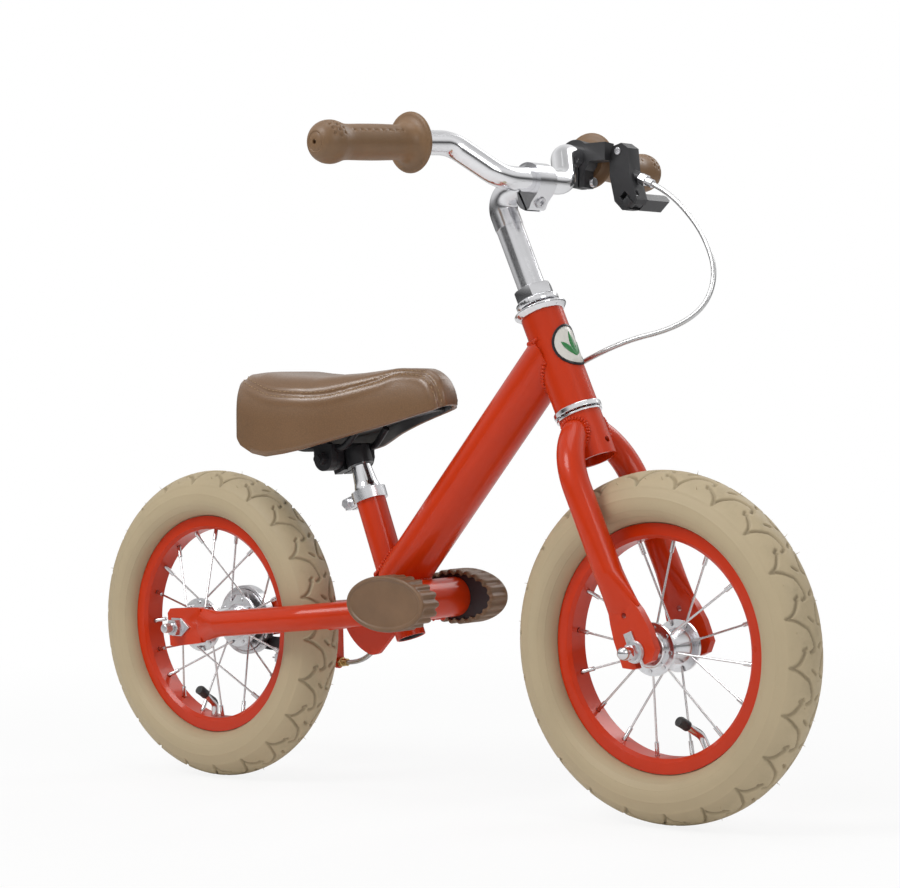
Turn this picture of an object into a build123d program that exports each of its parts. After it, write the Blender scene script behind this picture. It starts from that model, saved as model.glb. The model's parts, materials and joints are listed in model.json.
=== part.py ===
from build123d import *
import os
from dataclasses import dataclass
from math import cos, radians, sin, tan

# Balance bike for a small child: welded steel frame, unicrown fork, quill stem and
# swept bar, two spoked 12-inch wheels, a padded saddle and a hand-operated rear band brake.
# Millimetres. X runs forward, Y to the rider's left, Z up. The origin is on the ground,
# half-way between the axles, in the bike's mid-plane.

os.makedirs("parts", exist_ok=True)

# ---------------------------------------------------------------- driving dimensions
WHEELBASE = 560
AXLE_Z = 156                 # half of the 312 mm tyre diameter
FRONT_X = WHEELBASE / 2
REAR_X = -WHEELBASE / 2
HEAD_ANGLE = 66.3            # steering axis above the horizontal, through the front axle
SEAT_ANGLE = 69.8            # seat tube above the horizontal
MAIN_ANGLE = 47.8            # main tube above the horizontal
GAP = 0.3                    # between curved faces that come close without being a fit
FIT = 0.05                   # radial clearance of a running or sliding fit

# wheels
TYRE_CENTRE_R = 127
TYRE_HALF_WIDTH = 29
TYRE_WALL = 4
RIM_OUTER_R = 110
RIM_INNER_R = 96.5
RIM_HALF_WIDTH = 13
RIM_WALL = 2
SPOKE_R = 1.0
NIPPLE_R = 2.0
NIPPLE_LENGTH = 12
VALVE_R = 3.2
AXLE_R = 4.75
CONE_R = 7.1
BALL_R = 2.3
BALL_RING_R = 9.6
CUP_R = 12.3

# frame tubes
HEAD_TUBE_R = 20
MAIN_TUBE_R = 23
SEAT_TUBE_R = 14.3
CROSS_TUBE_R = 19
STAY_R = 12.7
TUBE_WALL = 2
CROSS_TUBE_X = 4
CROSS_TUBE_Z = 189
CROSS_TUBE_HALF = 57
REAR_HALF_OLD = 50           # half the distance between the rear dropouts
DROPOUT_THICK = 7

# steering, measured along the steering axis from the front axle
HEAD_TUBE_LOW = 231
HEAD_TUBE_HIGH = 324
CROWN_LOW = 180
CROWN_HIGH = 222.5
CROWN_R = 19.8
STEERER_R = 14.3
STEERER_TOP = 347
QUILL_R = 12.7
QUILL_LOW = 285
STEM_RING = 413
FORK_LEG_Y = 44.5
FORK_LEG_LEAD = 2
FRONT_HALF_OLD = 37.5
FORK_PLATE_THICK = 8

# handlebar
BAR_R = 11.1
BAR_WALL = 1.8
CLAMP_CENTRE = Vector(145.3, 0, 575.7)
BAR_STRAIGHT_Y = 50
BAR_BEND = Vector(115.6, -84, 606.8)
GRIP_DIRECTION = Vector(-0.085, -1, -0.055).normalized()
BAR_BEND_RADIUS = 27
LEFT_SHIFT = 6               # the bar's left half is this much shorter
FLANGE_DISTANCE = 49         # from the outer bar bend to the grip's flange
BALL_DISTANCE = 144.5        # from the outer bar bend to the grip's ball end
GRIP_R = 15.5
GRIP_FLANGE_R = 27
GRIP_BALL_R = 18.5

# brake cable
CABLE_R = 2.4
ADJUSTER = Vector(-162, 51, 117)    # where the cable's adjuster sits in its tab
WIRE_R = 0.8

# saddle: station along X, half width, top and bottom
SADDLE_STATIONS = (
    (-191, 48, 384, 354),
    (-187, 57, 395, 345),
    (-177, 63, 403, 338),
    (-160, 67, 407, 331),
    (-142, 68, 406, 328.5),
    (-100, 60, 404, 335),
    (-60, 41, 407, 347),
    (-20, 27, 411, 357),
    (14, 21, 409, 366),
    (31, 16, 399, 370),
    (39, 9, 385, 373),
)
# moulded base of the saddle: station along X, half width and underside
SADDLE_BASE = ((-172, 44, 350), (-142, 56, 344), (-100, 49, 349), (-60, 31, 356), (-20, 18, 362), (18, 12, 368))
BASE_THICK = 5

# ---------------------------------------------------------------- reference frames
HEAD_DIR = Vector(-cos(radians(HEAD_ANGLE)), 0, sin(radians(HEAD_ANGLE)))
HEAD_FORWARD = Vector(sin(radians(HEAD_ANGLE)), 0, cos(radians(HEAD_ANGLE)))
SEAT_DIR = Vector(-cos(radians(SEAT_ANGLE)), 0, sin(radians(SEAT_ANGLE)))
SEAT_FORWARD = Vector(sin(radians(SEAT_ANGLE)), 0, cos(radians(SEAT_ANGLE)))
MAIN_DIR = Vector(cos(radians(MAIN_ANGLE)), 0, sin(radians(MAIN_ANGLE)))
MAIN_DOWN = Vector(sin(radians(MAIN_ANGLE)), 0, -cos(radians(MAIN_ANGLE)))
FRONT_AXLE = Vector(FRONT_X, 0, AXLE_Z)
HEAD_AXIS = Axis(FRONT_AXLE, HEAD_DIR)
SEAT_FOOT = Vector(-18, 0, 152)
SEAT_AXIS = Axis(SEAT_FOOT, SEAT_DIR)
SEAT_TUBE_LENGTH = 147
MAIN_FOOT = Vector(-35.5, 0, 200.2)     # where the main and seat tube axes cross
MAIN_LENGTH = 296.8                     # from there to the steering axis


def head_point(distance):
    """A point of the steering axis, by its distance above the front axle."""
    return FRONT_AXLE + HEAD_DIR * distance


def head_level(distance):
    """The plane across the steering axis at a distance above the front axle."""
    return Plane(origin=head_point(distance), x_dir=HEAD_FORWARD, z_dir=HEAD_DIR)


def head_section():
    """The plane of the steering axis: x is the radius forward, y the distance above the axle."""
    return Plane(origin=FRONT_AXLE, x_dir=HEAD_FORWARD, z_dir=(0, -1, 0))


def seat_level(distance):
    """The plane across the seat tube at a distance above its foot."""
    return Plane(origin=SEAT_FOOT + SEAT_DIR * distance, x_dir=SEAT_FORWARD, z_dir=SEAT_DIR)


def seat_section():
    """The plane of the seat tube axis: x is the radius, y the distance above the foot."""
    return Plane(origin=SEAT_FOOT, x_dir=SEAT_FORWARD, z_dir=(0, -1, 0))


def wheel_section(x):
    """The plane of a wheel's axle: x is the radius, y the distance to the left."""
    return Plane(origin=(x, 0, AXLE_Z), x_dir=(0, 0, 1), z_dir=(-1, 0, 0))


def side_plane(x, z, y):
    """A vertical plane that faces left: x is forward and y is down."""
    return Plane(origin=(x, y, z), x_dir=(1, 0, 0), z_dir=(0, 1, 0))


def across(start, end):
    """The plane across a straight run at its start, facing along the run."""
    direction = (end - start).normalized()
    helper = Vector(0, 1, 0) if abs(direction.Y) < 0.9 else Vector(1, 0, 0)
    return Plane(origin=start, x_dir=helper.cross(direction), z_dir=direction)


def wheel_point(x, radius, angle, y):
    """A point of a wheel, by radius, angle up from forward, and distance to the left."""
    return Vector(x + radius * cos(radians(angle)), y, AXLE_Z + radius * sin(radians(angle)))


def corner_radii(route):
    """The radius of each corner of a cable's route, as large as its two runs allow."""
    radii = []
    for before, corner, after in zip(route, route[1:], route[2:]):
        half_turn = (corner - before).get_angle(after - corner) / 2
        shorter = min((corner - before).length, (after - corner).length)
        radii.append(0.45 * shorter / tan(radians(half_turn)))
    return radii


# ---------------------------------------------------------------- wheels
@dataclass
class Wheel:
    """What differs between the two wheels."""

    name: str
    x: float
    flanges: tuple
    flange_r: float
    hole_ring_r: float
    waist_r: float
    boss_r: float
    hub_ends: tuple
    spoke_count: int
    spoke_cross: float       # degrees between a spoke's flange hole and its rim hole
    phase: float
    valve_angle: float


WHEELS = (
    Wheel("front", FRONT_X, (-19, 19), 23.5, 19.5, 12, 16, (-26, 26), 16, 0, -6.7, -64),
    Wheel("rear", REAR_X, (-26, 27), 27, 22.5, 14, 17, (-34, 40), 20, 36, 19, -96),
)

for wheel in WHEELS:
    section = wheel_section(wheel.x)
    axle_line = Axis((wheel.x, 0, AXLE_Z), (0, 1, 0))
    right_flange, left_flange = wheel.flanges
    right_end, left_end = wheel.hub_ends

    # tyre: an open casing whose beads stand inside the rim
    bead_r = 102.5
    shoulder_r = 110.6
    inner_half = TYRE_HALF_WIDTH - TYRE_WALL
    crown_r = TYRE_CENTRE_R + TYRE_HALF_WIDTH
    with BuildPart() as tyre:
        with BuildSketch(section):
            with BuildLine():
                Line((bead_r, -10.6), (shoulder_r, -10.7))
                ThreePointArc((shoulder_r, -10.7), (115.5, -23.5), (TYRE_CENTRE_R, -TYRE_HALF_WIDTH))
                ThreePointArc((TYRE_CENTRE_R, -TYRE_HALF_WIDTH), (crown_r, 0),
                              (TYRE_CENTRE_R, TYRE_HALF_WIDTH))
                ThreePointArc((TYRE_CENTRE_R, TYRE_HALF_WIDTH), (115.5, 23.5), (shoulder_r, 10.7))
                Polyline((shoulder_r, 10.7), (bead_r, 10.6), (bead_r, 7.6), (111.5, 7.9))
                ThreePointArc((111.5, 7.9), (118, 20), (TYRE_CENTRE_R, inner_half))
                ThreePointArc((TYRE_CENTRE_R, inner_half), (crown_r - TYRE_WALL, 0),
                              (TYRE_CENTRE_R, -inner_half))
                ThreePointArc((TYRE_CENTRE_R, -inner_half), (118, -20), (111.5, -7.9))
                Polyline((111.5, -7.9), (bead_r, -7.6), (bead_r, -10.6))
            make_face()
        revolve(axis=axle_line)
    tyre.part.label = f"{wheel.name}_tyre"
    export_step(tyre.part, f"parts/{wheel.name}_tyre.step")

    # rim: a deep channel with a nipple hole for each spoke and one for the valve
    wall_y = RIM_HALF_WIDTH - RIM_WALL
    with BuildPart() as rim:
        with BuildSketch(section):
            with BuildLine():
                Polyline(
                    (RIM_OUTER_R, -RIM_HALF_WIDTH), (99.8, -RIM_HALF_WIDTH), (RIM_INNER_R, -10),
                    (RIM_INNER_R, 10), (99.8, RIM_HALF_WIDTH), (RIM_OUTER_R, RIM_HALF_WIDTH),
                    (RIM_OUTER_R, wall_y), (102.3, wall_y), (101.8, 8), (98.6, 6), (98.6, -6),
                    (101.8, -8), (102.3, -wall_y), (RIM_OUTER_R, -wall_y), close=True)
            make_face()
        revolve(axis=axle_line)
        for number in range(wheel.spoke_count):
            angle = wheel.phase + number * 360 / wheel.spoke_count
            inner = wheel_point(wheel.x, RIM_INNER_R - 2, angle, 0)
            outer = wheel_point(wheel.x, RIM_INNER_R + 6, angle, 0)
            with BuildSketch(across(inner, outer)):
                Circle(NIPPLE_R + 0.4)
            extrude(amount=6, mode=Mode.SUBTRACT)
        valve_inner = wheel_point(wheel.x, RIM_INNER_R - 2, wheel.valve_angle, 0)
        valve_outer = wheel_point(wheel.x, RIM_INNER_R + 6, wheel.valve_angle, 0)
        with BuildSketch(across(valve_inner, valve_outer)):
            Circle(VALVE_R + 0.6)
        extrude(amount=6, mode=Mode.SUBTRACT)
    rim.part.label = f"{wheel.name}_rim"
    export_step(rim.part, f"parts/{wheel.name}_rim.step")

    # inner tube: a thin hollow ring, its bent valve stem and a screw cap
    tube_r = 20
    stem_start = wheel_point(wheel.x, 111.2, wheel.valve_angle, 0)
    stem_bend = wheel_point(wheel.x, 82, wheel.valve_angle, 0)
    stem_end = wheel_point(wheel.x, 73, wheel.valve_angle, -15)
    cap_base = stem_end + (stem_end - stem_bend).normalized() * 0.1
    cap_end = stem_end + (stem_end - stem_bend).normalized() * 11
    with BuildPart() as inner_tube:
        with BuildSketch(section):
            with Locations((TYRE_CENTRE_R + 3.5, 0)):
                Circle(tube_r)
                Circle(tube_r - 1.2, mode=Mode.SUBTRACT)
        revolve(axis=axle_line)
        with BuildLine() as stem_line:
            FilletPolyline(stem_start, stem_bend, stem_end, radius=8)
        with BuildSketch(across(stem_start, stem_bend)):
            Circle(VALVE_R)
        sweep(path=stem_line.wire())
        with BuildSketch(across(cap_base, cap_end)):
            Circle(VALVE_R + 1.1)
        extrude(amount=11)
    inner_tube.part.label = f"{wheel.name}_inner_tube"
    export_step(inner_tube.part, f"parts/{wheel.name}_inner_tube.step")

    # hub shell: waisted barrel, two drilled flanges and a bearing cup in each end
    with BuildPart() as hub:
        with BuildSketch(section):
            with BuildLine():
                Polyline((8, right_end + 10), (CUP_R, right_end + 10), (CUP_R, right_end + 1.5),
                         (10, right_end + 1.5),
                         (10, right_end), (wheel.boss_r - 1, right_end), (wheel.boss_r, right_end + 1),
                         (wheel.boss_r, right_flange - 1.5), (wheel.flange_r, right_flange - 1.5),
                         (wheel.flange_r, right_flange + 1.5), (wheel.boss_r, right_flange + 1.5))
                middle_y = (right_flange + left_flange) / 2
                ThreePointArc((wheel.boss_r, right_flange + 1.5), (wheel.waist_r, middle_y),
                              (wheel.boss_r, left_flange - 1.5))
                Polyline((wheel.boss_r, left_flange - 1.5), (wheel.flange_r, left_flange - 1.5),
                         (wheel.flange_r, left_flange + 1.5), (wheel.boss_r, left_flange + 1.5),
                         (wheel.boss_r, left_end - 1), (wheel.boss_r - 1, left_end), (10, left_end),
                         (10, left_end - 1.5), (CUP_R, left_end - 1.5), (CUP_R, left_end - 10),
                         (8, left_end - 10), (8, right_end + 10))
            make_face()
        revolve(axis=axle_line)
        for flange_number, flange_y in enumerate(wheel.flanges):
            with BuildSketch(side_plane(wheel.x, AXLE_Z, flange_y)):
                start = -(wheel.phase - wheel.spoke_cross + flange_number * 360 / wheel.spoke_count)
                with PolarLocations(wheel.hole_ring_r, wheel.spoke_count // 2, start_angle=start):
                    Circle(1.4)
            extrude(amount=2, both=True, mode=Mode.SUBTRACT)
    hub.part.label = f"{wheel.name}_hub"
    export_step(hub.part, f"parts/{wheel.name}_hub.step")

    # bearing balls, one ring in each cup
    with BuildPart() as hub_balls:
        for ring_y in (right_end + 6, left_end - 6):
            for number in range(10):
                with Locations(wheel_point(wheel.x, BALL_RING_R, number * 36, ring_y)):
                    Sphere(BALL_R)
    hub_balls.part.label = f"{wheel.name}_hub_balls"
    export_step(hub_balls.part, f"parts/{wheel.name}_hub_balls.step")

    # spokes, each bent through its flange and screwed into a nipple, crossing one neighbour
    with BuildPart() as spokes:
        for number in range(wheel.spoke_count):
            flange_number = number % 2
            flange_y = wheel.flanges[flange_number]
            position = number // 2
            leads = position % 2 == 0 and wheel.spoke_cross > 0
            rim_angle = wheel.phase + number * 360 / wheel.spoke_count
            hole_angle = rim_angle - wheel.spoke_cross if leads else rim_angle + wheel.spoke_cross
            outward = 1 if flange_number else -1
            face = outward if leads else -outward
            outside = face == outward
            run_y = flange_y + face * (2.7 + (0.12 * abs(flange_y) if outside else 0))
            head_y = flange_y - face * 2.4
            head = wheel_point(wheel.x, wheel.hole_ring_r, hole_angle, head_y)
            elbow = wheel_point(wheel.x, wheel.hole_ring_r, hole_angle, run_y)
            rim_hole = wheel_point(wheel.x, RIM_INNER_R - 0.5, rim_angle, 0)
            run_length = (rim_hole - elbow).length
            nipple_foot = elbow + (rim_hole - elbow) * ((run_length - NIPPLE_LENGTH) / run_length)
            with BuildSketch(across(head, elbow)):
                Circle(SPOKE_R)
            extrude(amount=(elbow - head).length)
            with BuildSketch(across(head, elbow)):
                Circle(1.8)
            extrude(amount=0.8)
            with Locations(elbow):
                Sphere(SPOKE_R + 0.06)
            with BuildSketch(across(elbow, rim_hole)):
                Circle(SPOKE_R)
            extrude(amount=run_length - 2)
            with BuildSketch(across(nipple_foot, rim_hole)):
                Circle(NIPPLE_R)
            extrude(amount=NIPPLE_LENGTH - 0.6)
            seat = wheel_point(wheel.x, RIM_INNER_R - 2.2, rim_angle, 0)
            outer = wheel_point(wheel.x, RIM_INNER_R + 6, rim_angle, 0)
            with BuildSketch(across(seat, outer)):
                Circle(NIPPLE_R - 0.1)
            extrude(amount=5.2)
            with BuildSketch(across(wheel_point(wheel.x, RIM_INNER_R + 2.4, rim_angle, 0), outer)):
                Circle(3)
            extrude(amount=1.6)
    spokes.part.label = f"{wheel.name}_spokes"
    export_step(spokes.part, f"parts/{wheel.name}_spokes.step")

# ---------------------------------------------------------------- axles
AXLE_SETS = (
    ("front", FRONT_X, 57, 57, FRONT_HALF_OLD, (-26, 26)),
    ("rear", REAR_X, 78, 74, REAR_HALF_OLD, (-34, 40)),
)
for name, x, right_reach, left_reach, half_old, hub_ends in AXLE_SETS:
    section = wheel_section(x)
    axle_line = Axis((x, 0, AXLE_Z), (0, 1, 0))
    # threaded axle with a cone and locknut against each dropout
    with BuildPart() as axle:
        with BuildSketch(side_plane(x, AXLE_Z, -right_reach)):
            Circle(AXLE_R - 0.15)
        extrude(amount=9)
        with BuildSketch(side_plane(x, AXLE_Z, 9 - right_reach)):
            Circle(AXLE_R)
        extrude(amount=right_reach + left_reach - 9)
        chamfer(axle.faces().sort_by(Axis.Y)[0].edges(), length=0.8)
        chamfer(axle.faces().sort_by(Axis.Y)[-1].edges(), length=0.8)
    with BuildPart() as cones:
        for side, hub_end in ((-1, hub_ends[0]), (1, hub_ends[1])):
            race = abs(hub_end)
            with BuildSketch(section):
                with BuildLine():
                    Polyline((AXLE_R + FIT, side * (race - 9)), (CONE_R, side * (race - 9)),
                             (CONE_R, side * (race - 3.4)), (9.4, side * (race - 1.6)),
                             (9.4, side * (race + 3)), (8.2, side * (race + 3)),
                             (8.2, side * half_old), (AXLE_R + FIT, side * half_old), close=True)
                make_face()
            revolve(axis=axle_line)
    axle_set = Compound(label=f"{name}_axle", children=[axle.part, cones.part])
    export_step(axle_set, f"parts/{name}_axle.step")

# front axle nuts: hooked safety washer, flanged nut and domed cap at each end
with BuildPart() as front_nuts:
    for side in (-1, 1):
        face_y = side * (FRONT_HALF_OLD + FORK_PLATE_THICK)
        reach = 1.6 if side > 0 else -1.6
        with BuildSketch(side_plane(FRONT_X, AXLE_Z, face_y)):
            Circle(10)
            with Locations((-4.3, -10)):
                Rectangle(9, 14, rotation=-23)
            Circle(AXLE_R + FIT, mode=Mode.SUBTRACT)
        extrude(amount=reach)
        with BuildSketch(side_plane(FRONT_X, AXLE_Z, face_y + reach)):
            Circle(9.5)
            Circle(AXLE_R + FIT, mode=Mode.SUBTRACT)
        extrude(amount=reach)
        with BuildSketch(side_plane(FRONT_X, AXLE_Z, face_y + 2 * reach)):
            RegularPolygon(7.5, 6)
            Circle(AXLE_R + FIT, mode=Mode.SUBTRACT)
        extrude(amount=side * 6)
front_nuts.part.label = "front_axle_nuts"
export_step(front_nuts.part, "parts/front_axle_nuts.step")

# rear axle nuts: pointed safety washer, plain washer and hexagon nut at each end
with BuildPart() as rear_nuts:
    for side in (-1, 1):
        face_y = side * (REAR_HALF_OLD + DROPOUT_THICK)
        with BuildSketch(side_plane(REAR_X, AXLE_Z, face_y)):
            with BuildLine():
                Polyline((-9, -9), (5, -9), (16, 0), (5, 9), (-9, 9), close=True)
            make_face()
            Circle(AXLE_R + FIT, mode=Mode.SUBTRACT)
        extrude(amount=side * 1.8)
        with BuildSketch(side_plane(REAR_X, AXLE_Z, face_y + side * 1.8)):
            RegularPolygon(8.7, 6)
            Circle(AXLE_R + FIT, mode=Mode.SUBTRACT)
        extrude(amount=side * 8)
rear_nuts.part.label = "rear_axle_nuts"
export_step(rear_nuts.part, "parts/rear_axle_nuts.step")

# ---------------------------------------------------------------- frame tubes
with BuildPart() as head_tube:
    with BuildSketch(head_level(HEAD_TUBE_LOW)):
        Circle(HEAD_TUBE_R)
        Circle(HEAD_TUBE_R - TUBE_WALL, mode=Mode.SUBTRACT)
    extrude(amount=HEAD_TUBE_HIGH - HEAD_TUBE_LOW)
head_tube.part.label = "head_tube"
export_step(head_tube.part, "parts/head_tube.step")

with BuildPart() as seat_tube:
    with BuildSketch(seat_level(0)):
        Circle(SEAT_TUBE_R)
        Circle(SEAT_TUBE_R - 1.55, mode=Mode.SUBTRACT)
    extrude(amount=SEAT_TUBE_LENGTH)
    # clamping slot down the back of the tube's mouth
    with BuildSketch(seat_level(SEAT_TUBE_LENGTH - 22)):
        with Locations((-SEAT_TUBE_R, 0)):
            Rectangle(10, 2.5)
    extrude(amount=22, mode=Mode.SUBTRACT)
seat_tube.part.label = "seat_tube"
export_step(seat_tube.part, "parts/seat_tube.step")

with BuildPart() as footrest_tube:
    with BuildSketch(side_plane(CROSS_TUBE_X, CROSS_TUBE_Z, -CROSS_TUBE_HALF)):
        Circle(CROSS_TUBE_R)
        Circle(CROSS_TUBE_R - TUBE_WALL, mode=Mode.SUBTRACT)
    extrude(amount=2 * CROSS_TUBE_HALF)
footrest_tube.part.label = "footrest_tube"
export_step(footrest_tube.part, "parts/footrest_tube.step")

# main tube: mitred round the head tube, the seat tube and the footrest tube
main_head = MAIN_FOOT + MAIN_DIR * MAIN_LENGTH
with BuildPart() as main_tube:
    with BuildSketch(across(MAIN_FOOT, main_head)):
        Circle(MAIN_TUBE_R)
        Circle(MAIN_TUBE_R - TUBE_WALL, mode=Mode.SUBTRACT)
    extrude(amount=MAIN_LENGTH)
    with BuildSketch(head_level(HEAD_TUBE_LOW - 40)):
        Circle(HEAD_TUBE_R)
        with Locations((40, 0)):
            Rectangle(80, 80)
    extrude(amount=190, mode=Mode.SUBTRACT)
    with BuildSketch(seat_level(-20)):
        Circle(SEAT_TUBE_R)
        with Locations((-30, 0)):
            Rectangle(60, 80)
    extrude(amount=190, mode=Mode.SUBTRACT)
    with BuildSketch(side_plane(CROSS_TUBE_X, CROSS_TUBE_Z, -40)):
        Circle(CROSS_TUBE_R)
    extrude(amount=80, mode=Mode.SUBTRACT)
main_tube.part.label = "main_tube"
export_step(main_tube.part, "parts/main_tube.step")

# stays: round tubes from the footrest tube back past the tyre, pressed flat at the dropout
STAY_NECK = Vector(-226, -51, 160.8)
STAY_PAST_TYRE = Vector(-122, -45.5, 170)
STAY_INSIDE = Vector(-58, -20, 175.6)
STAY_FRONT = Vector(2, -16, 181)
DROPOUT_Y = -(REAR_HALF_OLD + DROPOUT_THICK / 2)
with BuildPart() as right_stay:
    with BuildLine() as stay_line:
        FilletPolyline(STAY_NECK, STAY_PAST_TYRE, STAY_INSIDE, STAY_FRONT, radius=45)
    with BuildSketch(across(STAY_NECK, STAY_PAST_TYRE)):
        Circle(STAY_R)
    sweep(path=stay_line.wire())
    # transition from the round tube to the pressed end
    with BuildSketch(Plane(origin=STAY_NECK, x_dir=(0, 1, 0), z_dir=STAY_NECK - STAY_PAST_TYRE)):
        Circle(STAY_R)
    with BuildSketch(Plane(origin=(-254, DROPOUT_Y, 158.6), x_dir=(0, 1, 0), z_dir=(-1, 0, 0))):
        Ellipse(DROPOUT_THICK / 2 + 0.2, 17.6)
    loft()
    with BuildSketch(side_plane(-250, 158.6, DROPOUT_Y - DROPOUT_THICK / 2)):
        with BuildLine():
            Polyline((1.5, -17), (-2, -18), (-42, -15.6), (-46, -11), (-43, 21.4), (-38, 22.5), (-2, 18),
                     (1.5, 17), close=True)
        make_face()
    extrude(amount=DROPOUT_THICK)
    with BuildSketch(side_plane(REAR_X, AXLE_Z, DROPOUT_Y - DROPOUT_THICK)):
        Circle(AXLE_R + FIT)
    extrude(amount=2 * DROPOUT_THICK, mode=Mode.SUBTRACT)
    # mitres against the footrest tube, the other stay and the seat tube
    with BuildSketch(side_plane(CROSS_TUBE_X, CROSS_TUBE_Z, -60)):
        Circle(CROSS_TUBE_R)
        with Locations((40, 0)):
            Rectangle(80, 80)
    extrude(amount=120, mode=Mode.SUBTRACT)
    with BuildSketch(side_plane(-50, 175, -0.01)):
        Rectangle(200, 80)
    extrude(amount=60, mode=Mode.SUBTRACT)
    with BuildSketch(seat_level(-20)):
        Circle(SEAT_TUBE_R)
    extrude(amount=120, mode=Mode.SUBTRACT)
    with BuildSketch(across(MAIN_FOOT, main_head)):
        Circle(MAIN_TUBE_R)
    extrude(amount=60, mode=Mode.SUBTRACT)
right_stay.part.label = "right_stay"
export_step(right_stay.part, "parts/right_stay.step")

with BuildPart() as left_stay:
    mirror(right_stay.part, about=Plane.XZ)
    # tab below the stay that carries the cable adjuster
    with BuildSketch(Plane(origin=ADJUSTER - Vector(1.6, 0, 0), x_dir=(0, 1, 0), z_dir=(1, 0, 0))):
        with Locations((0, 20)):
            Rectangle(13, 40)
        Circle(6.5)
        Circle(3 + FIT, mode=Mode.SUBTRACT)
    extrude(amount=3.2)
left_stay.part.label = "left_stay"
export_step(left_stay.part, "parts/left_stay.step")

# bridge between the stays with the curved gusset that hangs below the seat tube
BRIDGE = Vector(-96, 0, 166)
with BuildPart() as stay_bridge:
    with BuildSketch(side_plane(BRIDGE.X, BRIDGE.Z, -30)):
        Circle(8)
    extrude(amount=60)
    with BuildSketch(side_plane(0, 0, -2.5)):
        with BuildLine():
            Polyline((-103, -163), (-100, -174), (-60, -178), (-36, -178), (-27, -166), (-58, -135.5))
            ThreePointArc((-58, -135.5), (-66, -133.2), (-73, -134.5))
            ThreePointArc((-73, -134.5), (-91, -146), (-103, -163))
        make_face()
    extrude(amount=5)
    for side in (-1, 1):
        past_tyre = Vector(STAY_PAST_TYRE.X, side * -STAY_PAST_TYRE.Y, STAY_PAST_TYRE.Z)
        inside = Vector(STAY_INSIDE.X, side * -STAY_INSIDE.Y, STAY_INSIDE.Z)
        with BuildSketch(across(past_tyre, inside)):
            Circle(STAY_R)
        extrude(amount=80, mode=Mode.SUBTRACT)
    with BuildSketch(seat_level(-20)):
        Circle(SEAT_TUBE_R)
        with Locations((30, 0)):
            Rectangle(60, 60)
    extrude(amount=120, mode=Mode.SUBTRACT)
stay_bridge.part.label = "stay_bridge"
export_step(stay_bridge.part, "parts/stay_bridge.step")

# ---------------------------------------------------------------- footrests
FOOTREST_HALF_LENGTH = 48
FOOTREST_HALF_HEIGHT = 26.5
FOOTREST_INNER_Y = 38
FOOTREST_OUTER_Y = 63
FOOTREST_WALL = 4
with BuildPart() as footrest_cores:
    for side in (-1, 1):
        with BuildSketch(side_plane(CROSS_TUBE_X, CROSS_TUBE_Z, side * (FOOTREST_INNER_Y + 2))):
            Ellipse(FOOTREST_HALF_LENGTH - FOOTREST_WALL - 0.3, FOOTREST_HALF_HEIGHT - FOOTREST_WALL - 0.3)
            Circle(CROSS_TUBE_R + FIT, mode=Mode.SUBTRACT)
        extrude(amount=side * (CROSS_TUBE_HALF - FOOTREST_INNER_Y - 2))
footrest_cores.part.label = "footrest_cores"
export_step(footrest_cores.part, "parts/footrest_cores.step")

for side, name in ((-1, "right_footrest"), (1, "left_footrest")):
    with BuildPart() as footrest:
        with BuildSketch(side_plane(CROSS_TUBE_X, CROSS_TUBE_Z, side * FOOTREST_INNER_Y)):
            Ellipse(FOOTREST_HALF_LENGTH, FOOTREST_HALF_HEIGHT)
        extrude(amount=side * (FOOTREST_OUTER_Y - FOOTREST_INNER_Y))
        chamfer(footrest.edges().group_by(Axis.Y)[0 if side < 0 else -1], length=1.5)
        with BuildSketch(side_plane(CROSS_TUBE_X, CROSS_TUBE_Z, side * FOOTREST_INNER_Y)):
            Ellipse(FOOTREST_HALF_LENGTH - FOOTREST_WALL, FOOTREST_HALF_HEIGHT - FOOTREST_WALL)
        extrude(amount=side * (CROSS_TUBE_HALF + 0.2 - FOOTREST_INNER_Y), mode=Mode.SUBTRACT)
        with BuildSketch(side_plane(CROSS_TUBE_X, CROSS_TUBE_Z, side * (FOOTREST_OUTER_Y - 1.2))):
            Ellipse(FOOTREST_HALF_LENGTH - 5.5, FOOTREST_HALF_HEIGHT - 5.5)
        extrude(amount=side * 2, mode=Mode.SUBTRACT)
    footrest.part.label = name
    export_step(footrest.part, f"parts/{name}.step")

# ---------------------------------------------------------------- headset
with BuildPart() as lower_cup:
    with BuildSketch(head_section()):
        with BuildLine():
            Polyline((21.8, HEAD_TUBE_LOW), (22.3, HEAD_TUBE_LOW - 1), (22.3, HEAD_TUBE_LOW - 5),
                     (20.3, HEAD_TUBE_LOW - 5), (20.3, HEAD_TUBE_LOW - 1.5), (15.2, HEAD_TUBE_LOW - 1.5),
                     (15.2, HEAD_TUBE_LOW + 6), (HEAD_TUBE_R - TUBE_WALL - FIT, HEAD_TUBE_LOW + 6),
                     (HEAD_TUBE_R - TUBE_WALL - FIT, HEAD_TUBE_LOW), close=True)
        make_face()
    revolve(axis=HEAD_AXIS)
lower_cup.part.label = "lower_head_cup"
export_step(lower_cup.part, "parts/lower_head_cup.step")

with BuildPart() as crown_race:
    with BuildSketch(head_section()):
        with BuildLine():
            Polyline((STEERER_R + FIT, CROWN_HIGH), (21.5, CROWN_HIGH), (21.5, CROWN_HIGH + 1.8),
                     (15, CROWN_HIGH + 2.2), (15, CROWN_HIGH + 4), (STEERER_R + FIT, CROWN_HIGH + 4), close=True)
        make_face()
    revolve(axis=HEAD_AXIS)
crown_race.part.label = "crown_race"
export_step(crown_race.part, "parts/crown_race.step")

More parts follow.
